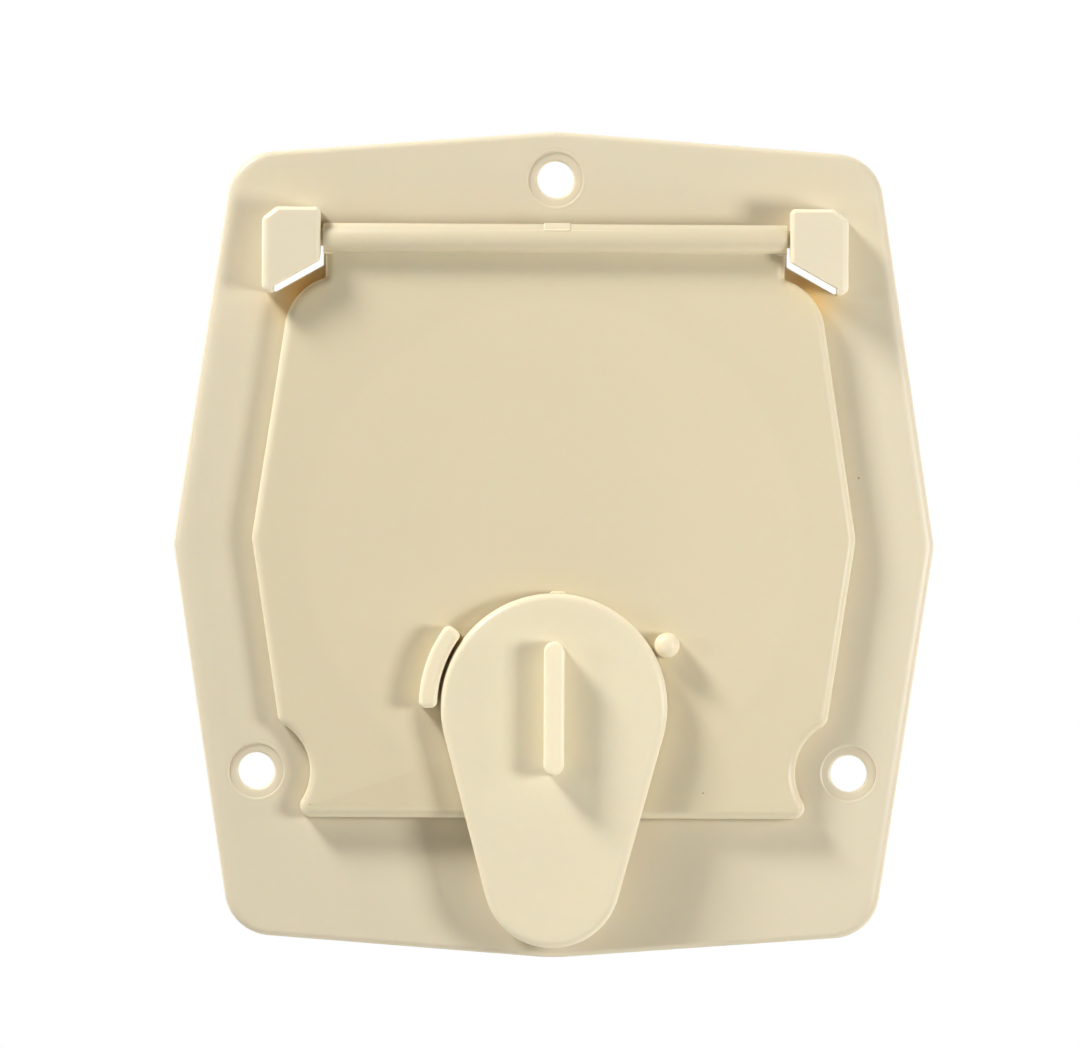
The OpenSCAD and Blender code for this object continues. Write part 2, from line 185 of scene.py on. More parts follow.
def touching(
    at: Sequence[float], facing: float, other: Sequence[float], reach: float, radius: float, way: int
) -> np.ndarray:
    """Finds a circle inside a line that touches the line and, from outside, another circle. The middles are
    as far apart as the two radii together.

    Args:
        at: a point of the line.
        facing: angle of the line's outward normal.
        other: middle of the other circle.
        reach: radius of the other circle.
        radius: radius of the touching circle.
        way: 1 for the solution further along the line, -1 for the one before it.

    Returns:
        The middle of the touching circle.
    """
    normal = unit(facing)
    depth = np.dot(np.subtract(at, other), normal) - radius
    along = math.sqrt((reach + radius) ** 2 - depth**2)
    return np.asarray(other) + depth * normal + way * along * np.array([-normal[1], normal[0]])


class Outline:
    """A closed outline of arcs that join without a kink, anticlockwise as seen from the front. A point is the
    arc's middle plus (radius - inset) times its outward normal. Once a corner's radius is used up, its points
    stay together where its two sides meet."""

    def __init__(self, arcs: Sequence[Arc], pitch: float = PITCH) -> None:
        """Spreads points along the arcs, and drops those that fall on the one before.

        Args:
            arcs: the arcs in running order.
            pitch: the widest way between two points of an arc.
        """
        turns = [abs(arc.last - arc.first) for arc in arcs]
        counts = [
            max(
                ARC_STEPS,
                math.ceil(turn / STEP_ANGLE),
                math.ceil(abs(arc.radius) * math.radians(turn) / pitch),
            )
            for arc, turn in zip(arcs, turns)
        ]
        repeats = np.add(counts, 1)
        self.angles = np.concatenate(
            [np.linspace(arc.first, arc.last, count + 1) for arc, count in zip(arcs, counts)]
        )
        self.middles = np.repeat([arc.middle for arc in arcs], repeats, axis=0)
        self.radii = np.repeat([arc.radius for arc in arcs], repeats)
        self.mids = np.repeat([(arc.first + arc.last) / 2 for arc in arcs], repeats)
        self.halves = np.repeat(np.radians(turns) / 2, repeats)
        self.kept = np.full(len(self.angles), True)
        places = self.points()
        self.kept = np.linalg.norm(places - np.roll(places, 1, axis=0), axis=1) > SAME_POINT

    def points(self, inset: float = 0.0) -> np.ndarray:
        """Works out the points.

        Args:
            inset: how far the outline is moved inwards.

        Returns:
            The points, always the same number.
        """
        reach = self.radii - inset
        spent = (self.radii > 0) & (reach < 0)
        stretch = np.where(spent, reach / np.maximum(np.cos(self.halves), LEAST_COSINE), reach)
        angles = np.where(spent, self.mids, self.angles)
        return (self.middles + stretch[:, None] * unit(angles))[self.kept]


class Sided(Outline):
    """A closed outline of straight sides with rounded corners, anticlockwise as seen from the front. Each
    side moves inwards by its own share of the inset. A corner is where its two moved sides meet, less the
    round of its radius."""

    def __init__(
        self,
        corners: Sequence[Sequence[float]],
        radii: float | Sequence[float] = 0.0,
        shares: float | Sequence[float] = 1.0,
        steps: int = EDGE_STEPS,
    ) -> None:
        """Works out where the sides face and how far each corner turns.

        Args:
            corners: the corners in running order.
            radii: the radius of each.
            shares: the share of the inset of the side that starts at each.
            steps: strips round a corner.
        """
        self.corners = np.array(corners, dtype=float)
        self.radii = np.broadcast_to(radii, len(self.corners))
        self.shares = np.broadcast_to(shares, len(self.corners))
        along = np.roll(self.corners, -1, axis=0) - self.corners
        self.facing = np.degrees(np.arctan2(along[:, 1], along[:, 0])) - 90
        self.before = np.roll(self.facing, 1)
        self.turns = (self.facing - self.before + 180) % 360 - 180
        self.steps = np.linspace(0, 1, steps + 1)

    def points(self, inset: float = 0.0) -> np.ndarray:
        """Works out the points.

        Args:
            inset: how far a side with a share of 1 is moved inwards.

        Returns:
            The points, always the same number.
        """
        moved = inset * self.shares
        pairs = np.stack([unit(self.before), unit(self.facing)], axis=1)
        shifts = np.stack([np.roll(moved, 1), moved], axis=1)
        meet = self.corners - np.linalg.solve(pairs, shifts[..., None])[..., 0]
        sign = np.sign(self.turns)
        reach = sign * np.maximum(self.radii - sign * shifts.mean(axis=1), 0)
        half = np.radians(self.turns) / 2
        middle = meet - (reach / np.cos(half))[:, None] * unit(self.before + self.turns / 2)
        angles = self.before[:, None] + self.turns[:, None] * self.steps
        return (middle[:, None, :] + reach[:, None, None] * unit(angles)).reshape(-1, 2)


def circle(middle: Sequence[float], radius: float, pitch: float = PITCH) -> Outline:
    """Returns a round outline."""
    return Outline([Arc(tuple(middle), radius, 0, 360)], pitch)


def ring_stretch(
    middle: Sequence[float], inner: float, outer: float, low: float, high: float, radius: float
) -> Outline:
    """Draws a stretch of a ring with rounded corners, from arcs that touch each other.

    Args:
        middle: the ring's middle.
        inner: its inner radius.
        outer: its outer radius.
        low: angle at which the stretch starts.
        high: angle at which it ends.
        radius: the corners' radius.

    Returns:
        The outline.
    """
    middle, far, near = np.asarray(middle), outer - radius, inner + radius
    a, b = math.degrees(math.asin(radius / far)), math.degrees(math.asin(radius / near))
    return Outline(
        [
            Arc(tuple(middle), outer, low + a, high - a),
            Arc(tuple(middle + far * unit(high - a)), radius, high - a, high + 90),
            Arc(tuple(middle + near * unit(high - b)), radius, high + 90, high + 180 - b),
            Arc(tuple(middle), -inner, high + 180 - b, low + 180 + b),
            Arc(tuple(middle + near * unit(low + b)), radius, low + 180 + b, low + 270),
            Arc(tuple(middle + far * unit(low + a)), radius, low + 270, low + 360 + a),
        ],
        SMALL_PITCH,
    )


def rounded(width: float, height: float, front: float, margin: float = MARGIN) -> np.ndarray:
    """Works out the section of a rounded front edge: a flat margin, then a quarter of an ellipse.

    Args:
        width: the ellipse's reach inwards from the side.
        height: its reach down from the front.
        front: height of the front.
        margin: width of the flat margin.

    Returns:
        Its (inset, height) steps, from the front to the side.
    """
    turn = np.linspace(0, np.pi / 2, EDGE_STEPS + 1)
    curve = np.column_stack([width * (1 - np.sin(turn)), front - height * (1 - np.cos(turn))])
    return np.vstack([[width + margin, front], curve])


class Skin:
    """Rings of vertices joined by strips of quads and closed by flat caps, made into one mesh at the end."""

    def __init__(self) -> None:
        """Starts without vertices or faces."""
        self.blocks: list[np.ndarray] = []
        self.faces: list[np.ndarray] = []
        self.size = 0

    def add(self, plan: np.ndarray, height: float) -> np.ndarray:
        """Adds vertices at one height.

        Args:
            plan: their places as (across, up).
            height: their height.

        Returns:
            Their numbers.
        """
        self.blocks.append(np.column_stack([plan, np.full(len(plan), height)]))
        self.size += len(plan)
        return np.arange(self.size - len(plan), self.size)

    def sweep(self, outline: Outline, section: Sequence | np.ndarray) -> tuple[np.ndarray, np.ndarray]:
        """Carries a section round an outline.

        Args:
            outline: the path, whose copies moved inwards all have the same number of points.
            section: (inset, height) steps.

        Returns:
            The first and the last ring.
        """
        rings = [self.add(outline.points(inset), height) for inset, height in section]
        self.faces += [
            np.column_stack([a, b, np.roll(b, -1), np.roll(a, -1)]) for a, b in zip(rings, rings[1:])
        ]
        return rings[0], rings[-1]

    def cap(self, *rings: np.ndarray, inner: np.ndarray | None = None) -> None:
        """Fills the region inside the first ring and outside the others with triangles. A triangle counts
        where a line from its middle crosses the rings an odd number of times.

        Args:
            rings: rings at one height.
            inner: extra places inside the region.
        """
        numbers = np.concatenate(rings)
        points = np.vstack(self.blocks)
        if inner is not None:
            numbers = np.concatenate([numbers, self.add(inner, points[numbers[0], 2])])
            points = np.vstack(self.blocks)
        starts = np.cumsum([0] + [len(ring) for ring in rings])
        loops = [np.arange(a, b) for a, b in zip(starts, starts[1:])]
        edges = np.vstack([np.column_stack([loop, np.roll(loop, -1)]) for loop in loops])
        plan = points[numbers, :2]
        _, _, faces, origin, _, _ = delaunay_2d_cdt(
            [Vector(place) for place in plan], edges.tolist(), [], 0, SAME_POINT / 10, True
        )
        if not all(origin):
            raise ValueError("the rings of a cap cross")
        corners = np.array([source[0] for source in origin])[np.array(faces)]
        middle = plan[corners].mean(axis=1)[:, None, :]
        a, b = plan[edges[:, 0]], plan[edges[:, 1]]
        spans = (a[:, 1] > middle[..., 1]) != (b[:, 1] > middle[..., 1])
        rise = np.where(a[:, 1] == b[:, 1], 1.0, b[:, 1] - a[:, 1])
        across = a[:, 0] + (middle[..., 1] - a[:, 1]) * (b[:, 0] - a[:, 0]) / rise
        inside = np.count_nonzero(spans & (across > middle[..., 0]), axis=1) % 2 == 1
        self.faces.append(numbers[corners[inside]])

    def press(self, at: Sequence[float], radius: float, depth: float, above: float) -> None:
        """Presses a shallow hollow: depth times exp(-(distance / radius)^2).

        Args:
            at: its middle.
            radius: distance at which it has lost two thirds of its depth.
            depth: its depth in the middle.
            above: only what lies above this height sinks.
        """
        for block in self.blocks:
            away = np.linalg.norm(block[:, :2] - at, axis=1) / radius
            block[:, 2] -= np.where(block[:, 2] > above, depth * np.exp(-away**2), 0)

    def mesh(self, name: str, view: View = View.FRONT, side: Side = Side.RIGHT) -> bpy.types.Object:
        """Makes the mesh, in metres, with vertices at one place joined and the faces turned outwards.

        Args:
            name: its name.
            view: side that it is drawn from.
            side: side of the hatch that it stands at. At the left it is mirrored.

        Returns:
            The piece.
        """
        places = np.vstack(self.blocks) @ np.array(view.value).T * MM
        places[:, 0] *= side.value
        mesh = bpy.data.meshes.new(name)
        mesh.from_pydata(places.tolist(), [], [face for block in self.faces for face in block.tolist()])
        form = bmesh.new()
        form.from_mesh(mesh)
        bmesh.ops.remove_doubles(form, verts=form.verts, dist=SAME_POINT * MM)
        bmesh.ops.recalc_face_normals(form, faces=form.faces)
        form.to_mesh(mesh)
        form.free()
        obj = bpy.data.objects.new(name, mesh)
        bpy.context.scene.collection.objects.link(obj)
        return obj


def closed(outline: Outline, section: Sequence | np.ndarray) -> Skin:
    """Carries a section round an outline and closes both ends with caps.

    Args:
        outline: the path.
        section: (inset, height) steps.

    Returns:
        The form.
    """
    skin = Skin()
    for ring in skin.sweep(outline, section):
        skin.cap(ring)
    return skin


def prism(outline: Outline, low: float, high: float) -> Skin:
    """Returns a straight form between two heights."""
    return closed(outline, [(0, high), (0, low)])


def bar(outline: Outline, low: float, high: float, soft: float) -> Skin:
    """Returns a straight form between two heights, with the edges of its ends chamfered by soft."""
    return closed(outline, [(soft, low), (0, low + soft), (0, high - soft), (soft, high)])


def turned(middle: Sequence[float], profile: Sequence[Sequence[float]]) -> Skin:
    """Carries a closed profile round an axis that is seen from its end. One that starts and ends at radius 0
    closes in its poles.

    Args:
        middle: where the axis is seen.
        profile: (radius, height) steps.

    Returns:
        The form.
    """
    reach = max(radius for radius, _ in profile)
    skin = Skin()
    path = circle(middle, reach, TURNED_PITCH)
    first, last = skin.sweep(path, [(reach - radius, height) for radius, height in profile])
    if profile[0][0] > 0:
        skin.faces.append(np.column_stack([last, first, np.roll(first, -1), np.roll(last, -1)]))
    return skin


def combine(obj: bpy.types.Object, operation: Operation, *others: bpy.types.Object) -> None:
    """Joins others to a piece or takes them out of it, and deletes them.

    Args:
        obj: the piece.
        operation: what is done with the others.
        others: the others, one after the other.
    """
    for other in others:
        step = obj.modifiers.new("combine", "BOOLEAN")
        step.operation = operation.value
        step.solver = "EXACT"
        step.object = other
    result = obj.evaluated_get(bpy.context.evaluated_depsgraph_get())
    mesh = bpy.data.meshes.new_from_object(result)
    obj.modifiers.clear()
    obj.data = mesh
    for other in others:
        bpy.data.objects.remove(other)


def mark_bends(mesh: bpy.types.Mesh, full: float = 1.1, least: float = 1e-9) -> None:
    """Writes how strongly the surface bends as the attribute "bend", from 1 on a tight outward edge to -1 in
    a tight crease. The bend at a mesh edge is the change of the normal from one of its faces to the other,
    over the way between their middles, and a vertex takes the highest and the lowest of its edges together.
    Where the surface looks straight forwards, an outward bend counts for nothing, and it grows with the root
    of (1 - the share of the normal that looks forwards), so that a rounded edge fades into its face. The bend
    sets where edges get a painted highlight and creases get painted shade.

    Args:
        mesh: the mesh.
        full: radius in millimetres at which the bend is 1.
        least: shortest way between two faces that counts, in metres.
    """
    faces, loops = len(mesh.polygons), len(mesh.loops)
    normals, middles = np.empty((faces, 3)), np.empty((faces, 3))
    mesh.polygons.foreach_get("normal", normals.ravel())
    mesh.polygons.foreach_get("center", middles.ravel())
    sizes, edges = np.empty(faces, dtype=np.int32), np.empty(loops, dtype=np.int32)
    mesh.polygons.foreach_get("loop_total", sizes)
    mesh.loops.foreach_get("edge_index", edges)
    owners = np.repeat(np.arange(faces), sizes)
    order = np.argsort(edges, kind="stable")
    counts = np.bincount(edges, minlength=len(mesh.edges))
    starts = np.concatenate([[0], np.cumsum(counts)[:-1]])[counts == 2]
    here, there = owners[order[starts]], owners[order[starts + 1]]
    way = middles[there] - middles[here]
    change = np.linalg.norm(normals[there] - normals[here], axis=1)
    outward = np.where((way * normals[here]).sum(axis=1) < 0, 1.0, -1.0)
    bend = outward * change / np.maximum(np.linalg.norm(way, axis=1), least)
    ends = np.empty((len(mesh.edges), 2), dtype=np.int32)
    mesh.edges.foreach_get("vertices", ends.ravel())
    ends = ends[counts == 2]
    high, low = np.zeros(len(mesh.vertices)), np.zeros(len(mesh.vertices))
    np.maximum.at(high, ends.ravel(), np.repeat(bend, 2))
    np.minimum.at(low, ends.ravel(), np.repeat(bend, 2))
    facing = np.empty((len(mesh.vertices), 3))
    mesh.vertices.foreach_get("normal", facing.ravel())
    high *= np.sqrt(np.clip(1 - np.abs(facing[:, 1]), 0, 1))
    layer = mesh.attributes.new("bend", "FLOAT", "POINT")
    layer.data.foreach_set("value", np.clip((high + low) * full * MM, -1, 1))


def dress(
    obj: bpy.types.Object,
    body: Body,
    material: bpy.types.Material,
    node: str,
    sharp: float = 35,
) -> None:
    """Gives a piece its finish, body and material slot, and lets it stand for its node.

    Args:
        obj: the piece.
        body: the body that it moves with.
        material: its finish.
        node: the solid that it replaces.
        sharp: angle between faces, in degrees, from which an edge shows.
    """
    obj.data.materials.clear()
    obj.data.materials.append(material)
    mark_bends(obj.data)
    obj.data.shade_smooth()
    obj.data.set_sharp_from_angle(angle=math.radians(sharp))
    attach(obj, body.value)
    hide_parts(node)
    LOG.info("%s: %d faces on %s", obj.name, len(obj.data.polygons), body.value)


@dataclass(frozen=True)
class Plan:
    """Driving sizes of the hatch seen from the front, with the outlines that follow from them. Up is counted
    from the hinge axis."""

    flange_w: float = 133.1
    flange_h: float = 144.6
    side_lean: float = 8.6
    gable_slope: float = 4.25
    flange_corner_r: float = 8.4
    point_r: float = 6.0
    low_point_r: float = 40.0
    top_point_r: float = 15.0
    middle_up: float = -53.5
    screw_r: float = 3.2
    seat_r: float = 4.8
    top_screw_up: float = 63.9
    low_screw_x: float = 51.8
    low_screw_down: float = 39.8
    door_w: float = 105.6
    door_waist_up: float = 1.0
    door_bottom_down: float = 47.8
    shoulder_drop: float = 6.7
    shoulder_r: float = 9.8
    neck_w: float = 80.2
    neck_fillet_r: float = 0.5
    neck_corner_r: float = 1.7
    door_corner_r: float = 2.0
    screw_clear_r: float = 9.4
    barrel_r: float = 2.5
    barrel_over: float = 0.4
    ear_gap: float = 0.5
    ear_w: float = 10.2
    ear_up: float = 5.3
    ear_side_h: float = 13.0
    ear_inner_down: float = 4.0
    ear_slant: float = 29.5
    ear_chamfer_w: float = 2.5
    ear_chamfer_h: float = 2.0
    ear_wall: float = 2.0
    slot_margin: float = 0.8
    slot_corner_r: float = 0.3
    pin_r: float = 1.5
    pin_clear: float = 0.1
    door_overlap: float = 5.0
    opening_top_r: float = 6.0
    opening_low_r: float = 8.0
    notch_r: float = 9.5
    notch_mouth_r: float = 3.2
    lip_t: float = 1.8
    pivot_down: float = 28.2
    head_r: float = 20.0
    tail_r: float = 12.0
    tail_offset: float = 30.2
    stop_gap: float = 0.4
    rib_gap: float = 0.2
    head_shift: tuple[float, float] = (0.2, -0.1)
    head_trim: float = 0.2
    finger_shift: tuple[float, float] = (0.2, -0.3)
    stop_rib_t: float = 3.2
    stop_rib_low: float = 1.0
    stop_rib_high: float = 38.0
    stop_corner_r: float = 1.15
    post_r: float = 2.2
    post_angle: float = 28.4
    finger_l: float = 23.3
    finger_w: float = 3.6

    def leaning(self, waist: Sequence[float], up: float) -> tuple[float, float]:
        """Returns the place of the side through a waist, which leans in above and below it, at this level."""
        return waist[0] - abs(up - waist[1]) * math.tan(math.radians(self.side_lean)), up

    @property
    def screws(self) -> list[tuple[float, float]]:
        """Middles of the three screw holes."""
        low = self.middle_up - self.low_screw_down
        return [(0, self.middle_up + self.top_screw_up), (self.low_screw_x, low), (-self.low_screw_x, low)]

    @property
    def pivot(self) -> np.ndarray:
        """Axis of the cord cover."""
        return np.array([0, self.middle_up - self.pivot_down])

    @property
    def tail(self) -> np.ndarray:
        """Middle of the cover's tail and of the notch."""
        return self.pivot - (0, self.tail_offset)

    @property
    def post(self) -> np.ndarray:
        """Middle of the stop post."""
        return self.pivot + (self.head_r + self.stop_gap + self.post_r) * unit(self.post_angle)

    @property
    def door_waist(self) -> tuple[float, float]:
        """Waist of the door at the right."""
        return self.door_w / 2, self.middle_up + self.door_waist_up

    @property
    def door_bottom(self) -> float:
        """Level of the door's lower edge."""
        return self.middle_up - self.door_bottom_down

    @property
    def barrel_x(self) -> float:
        """Half the length of the barrel."""
        return self.neck_w / 2 + self.barrel_over

    @property
    def ear_x(self) -> float:
        """Inner side of the right ear."""
        return self.barrel_x + self.ear_gap

    @property
    def ear_out(self) -> float:
        """Outer side of the right ear."""
        return self.ear_x + self.ear_w

    @property
    def ear_low(self) -> float:
        """Level of the ear's foot."""
        return self.ear_up - self.ear_chamfer_h - self.ear_side_h

    @property
    def flange_corners(self) -> np.ndarray:
        """Corners of the flange. A corner at the side is where the leaning side meets the gable's slope.

        Returns:
            The corners, anticlockwise from the lowest point.
        """
        half = self.flange_h / 2
        lean, slope = math.tan(math.radians(self.side_lean)), math.tan(math.radians(self.gable_slope))
        up = (half - self.flange_w / 2 * slope) / (1 - lean * slope)
        across = self.flange_w / 2 - up * lean
        right = np.array([(0, -half), (across, -up), (self.flange_w / 2, 0), (across, up)])
        return np.vstack([right, -right]) + (0, self.middle_up)

    @cached_property
    def shoulder(self) -> Arc:
        """Shoulder of the door at the right."""
        at = self.leaning(self.door_waist, -self.shoulder_drop)
        return corner(at, self.shoulder_r, self.side_lean, 90)

    @cached_property
    def door_right(self) -> list[Arc]:
        """The door's right side, hollowed round the lower screw.

        Returns:
            Its arcs from the bottom to the waist.
        """
        screw, clear, soft, lean = self.screws[1], self.screw_clear_r, self.door_corner_r, self.side_lean
        low = touching((0, self.door_bottom), -90, screw, clear, soft, -1)
        high = touching(self.door_waist, -lean, screw, clear, soft, 1)
        start, end = angle_to(low, screw), angle_to(high, screw)
        return [
            Arc(tuple(low), soft, -90, start),
            Arc(screw, -clear, start, end),
            Arc(tuple(high), soft, end, -lean),
            corner(self.door_waist, self.point_r, -lean, lean),
        ]

    @cached_property
    def rim(self) -> Outline:
        """Outline of the rim behind the door, without the neck."""
        right = [*self.door_right, self.shoulder]
        return Outline(right + mirrored(right))

    @cached_property
    def door(self) -> Outline:
        """Outline of the door with its neck.

        Returns:
            The outline.
        """
        middle = self.shoulder.middle
        fillet = touching((self.neck_w / 2, 0), 180, middle, self.shoulder_r, self.neck_fillet_r, -1)
        meet = angle_to(middle, fillet)
        right = [
            *self.door_right,
            Arc(middle, self.shoulder_r, self.side_lean, meet),
            Arc(tuple(fillet), -self.neck_fillet_r, meet, 0),
            corner((self.neck_w / 2, -self.barrel_r / 2), self.neck_corner_r, 0, 90),
        ]
        return Outline(right + mirrored(right))

    @cached_property
    def opening(self) -> Outline:
        """Outline of the opening in the flange, with the notch.

        Returns:
            The outline.
        """
        lean, overlap = self.side_lean, self.door_overlap
        waist = (self.door_waist[0] - overlap / math.cos(math.radians(lean)), self.door_waist[1])
        bottom, top = self.door_bottom + overlap, -self.shoulder_drop - overlap
        right = [
            corner((self.notch_r, bottom), -self.notch_mouth_r, 0, -90),
            corner(self.leaning(waist, bottom), self.opening_low_r, -90, -lean),
            corner(waist, self.point_r, -lean, lean),
            corner(self.leaning(waist, top), self.opening_top_r, lean, 90),
        ]
        return Outline([Arc(tuple(self.tail), self.notch_r, -180, 0), *right, *mirrored(right)])

    @cached_property
    def cover(self) -> Outline:
        """Outline of the teardrop cover: a head and a tail, joined by the lines that touch both.

        Returns:
            The outline.
        """
        head, reach = self.pivot + self.head_shift, self.head_r - self.head_trim
        along = angle_to(head, self.tail)
        flank = math.degrees(math.acos((reach - self.tail_r) / np.linalg.norm(self.tail - head)))
        return Outline([
            Arc(tuple(head), reach, along + flank, along + 360 - flank),
            Arc(tuple(self.tail), self.tail_r, along + 360 - flank, along + 360 + flank),
        ])

    @cached_property
    def finger(self) -> Outline:
        """Outline of the finger rib.

        Returns:
            The outline.
        """
        half, reach = self.finger_w / 2, (self.finger_l - self.finger_w) / 2
        middle = self.pivot + self.finger_shift
        high, low = tuple(middle + (0, reach)), tuple(middle - (0, reach))
        return Outline([Arc(high, half, 0, 180), Arc(low, half, 180, 360)], SMALL_PITCH)

    @cached_property
    def stop_rib(self) -> Outline:
        """Outline of the stop rib, a stretch of a ring round the pivot.

        Returns:
            The outline.
        """
        inner = self.head_r + self.rib_gap
        low, high = 180 - self.stop_rib_high, 180 + self.stop_rib_low
        return ring_stretch(self.pivot, inner, inner + self.stop_rib_t, low, high, self.stop_corner_r)

    def slot(self, side: Side) -> Sided:
        """Outline of the slot behind an ear.

        Args:
            side: the ear's side.

        Returns:
            The outline.
        """
        wall, near = self.ear_out - self.ear_wall, self.barrel_x
        right = [(near, -self.ear_inner_down - self.slot_margin), (wall, self.ear_low), (wall, 0), (near, 0)]
        corners = np.multiply(right, (side.value, 1))
        return Sided(corners if side is Side.RIGHT else corners[::-1], self.slot_corner_r)


@dataclass(frozen=True)
class Heights:
    """Heights of the hatch's faces in front of the wall face."""

    flange: float
    door_back: float
    door_skin: float
    door: float
    hinge: float
    ear: float
    cover_back: float
    cover_skin: float
    cover: float
    finger: float
    stops: float
    boss: float
    stem: float
    washer: float
    screw: float
    collar: float

    @classmethod
    def of_frame(cls, door_skin_t: float = 2.2) -> Heights:
        """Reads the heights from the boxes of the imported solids.

        Args:
            door_skin_t: thickness of the door's panel, which no box shows.

        Returns:
            The heights.
        """

        def front(node: str) -> float:
            """Returns the height of a node's front."""
            return -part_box(node)[0].y / MM

        def back(node: str) -> float:
            """Returns the height of a node's back."""
            return -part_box(node)[1].y / MM

        return cls(
            flange=front("base_flange"),
            door_back=back("door_panel"),
            door_skin=front("door_panel") - door_skin_t,
            door=front("door_panel"),
            hinge=(front("left_hinge_pin") + back("left_hinge_pin")) / 2,
            ear=front("left_hinge_ear"),
            cover_back=back("cord_cover"),
            cover_skin=front("pivot_stem"),
            cover=front("cord_cover"),
            finger=front("finger_rib"),
            stops=front("stop_rib"),
            boss=back("pivot_boss"),
            stem=back("pivot_stem"),
            washer=back("pivot_washer"),
            screw=back("pivot_screw"),
            collar=back("rear_collar"),
        )


class Wiring:
    """Adds nodes to a node tree and feeds their inputs with values or with the outputs of other nodes."""

    def __init__(self, tree: bpy.types.NodeTree) -> None:
        """Works on this tree."""
        self.tree = tree

    def put(self, socket: bpy.types.NodeSocket, value: object) -> None:
        """Sets an input, or links it.

        Args:
            socket: the input.
            value: its value, or the output that it follows.
        """
        if isinstance(value, bpy.types.NodeSocket):
            self.tree.links.new(value, socket)
        else:
            socket.default_value = value

    def feed(self, node: bpy.types.Node, **inputs: object) -> None:
        """Feeds inputs of a node.

        Args:
            node: the node.
            inputs: a value or an output for each input, with _ for a space in its name.
        """
        for key, value in inputs.items():
            self.put(node.inputs[key.replace("_", " ")], value)

    def shade(self, **inputs: object) -> None:
        """Feeds inputs of the surface of a material's tree."""
        self.feed(self.tree.nodes["Principled BSDF"], **inputs)

    def add(self, kind: str, settings: dict | None = None, **inputs: object) -> bpy.types.Node:
        """Adds a node.

        Args:
            kind: its Blender type.
            settings: its own settings.
            inputs: what its inputs are fed with.

        Returns:
            The node.
        """
        node = self.tree.nodes.new(kind)
        for key, value in (settings or {}).items():
            setattr(node, key, value)
        self.feed(node, **inputs)
        return node

    def math(self, operation: str, *values: object) -> bpy.types.NodeSocket:
        """Adds a sum on numbers.

        Args:
            operation: its Blender name.
            values: what its inputs are fed with.

        Returns:
            Its result.
        """
        node = self.add("ShaderNodeMath", {"operation": operation})
        for socket, value in zip(node.inputs, values):
            self.put(socket, value)
        return node.outputs[0]

    def ramp(
        self, value: object, source: tuple[float, float], target: tuple[object, object]
    ) -> bpy.types.NodeSocket:
        """Adds a smooth step from one range to another.

        Args:
            value: what is stepped.
            source: the range that it comes in.
            target: the range that it is turned into.

        Returns:
            Its result.
        """
        node = self.add("ShaderNodeMapRange", {"interpolation_type": "SMOOTHSTEP"}, Value=value)
        (low, high), (start, end) = source, target
        self.feed(node, From_Min=low, From_Max=high, To_Min=start, To_Max=end)
        return node.outputs["Result"]

    def mix(self, share: bpy.types.NodeSocket, first: object, second: object) -> bpy.types.NodeSocket:
        """Adds a mix of two colours.

        Args:
            share: share of the second.
            first: the first colour.
            second: the second colour.

        Returns:
            The mixed colour.
        """
        node = self.add("ShaderNodeMix", {"data_type": "RGBA"})
        for place, value in ((0, share), (6, first), (7, second)):
            self.put(node.inputs[place], value)
        return node.outputs[2]


def new_material(name: str) -> tuple[bpy.types.Material, Wiring]:
    """Makes a material.

    Args:
        name: its name.

    Returns:
        The material, and the wiring of its nodes.
    """
    material = bpy.data.materials.new(name)
    material.use_nodes = True
    return material, Wiring(material.node_tree)


def effect(
    name: str, inputs: dict[str, object], outputs: dict[str, str]
) -> tuple[Wiring, bpy.types.NodeOutputs, bpy.types.NodeSocket]:
    """Starts a shader node group.

    Args:
        name: its name.
        inputs: the default of each input.
        outputs: the socket type of each output.

    Returns:
        The wiring of its nodes, what is given to its inputs, and the place on the piece.
    """
    group = bpy.data.node_groups.new(name, "ShaderNodeTree")
    for key, value in inputs.items():
        kind = "NodeSocketColor" if isinstance(value, tuple) else "NodeSocketFloat"
        socket = group.interface.new_socket(key, in_out="INPUT", socket_type=kind)
        socket.default_value = value
    for key, kind in outputs.items():
        group.interface.new_socket(key, in_out="OUTPUT", socket_type=kind)
    wiring = Wiring(group)
    given = wiring.add("NodeGroupInput").outputs
    return wiring, given, wiring.add("ShaderNodeTexCoord").outputs["Object"]


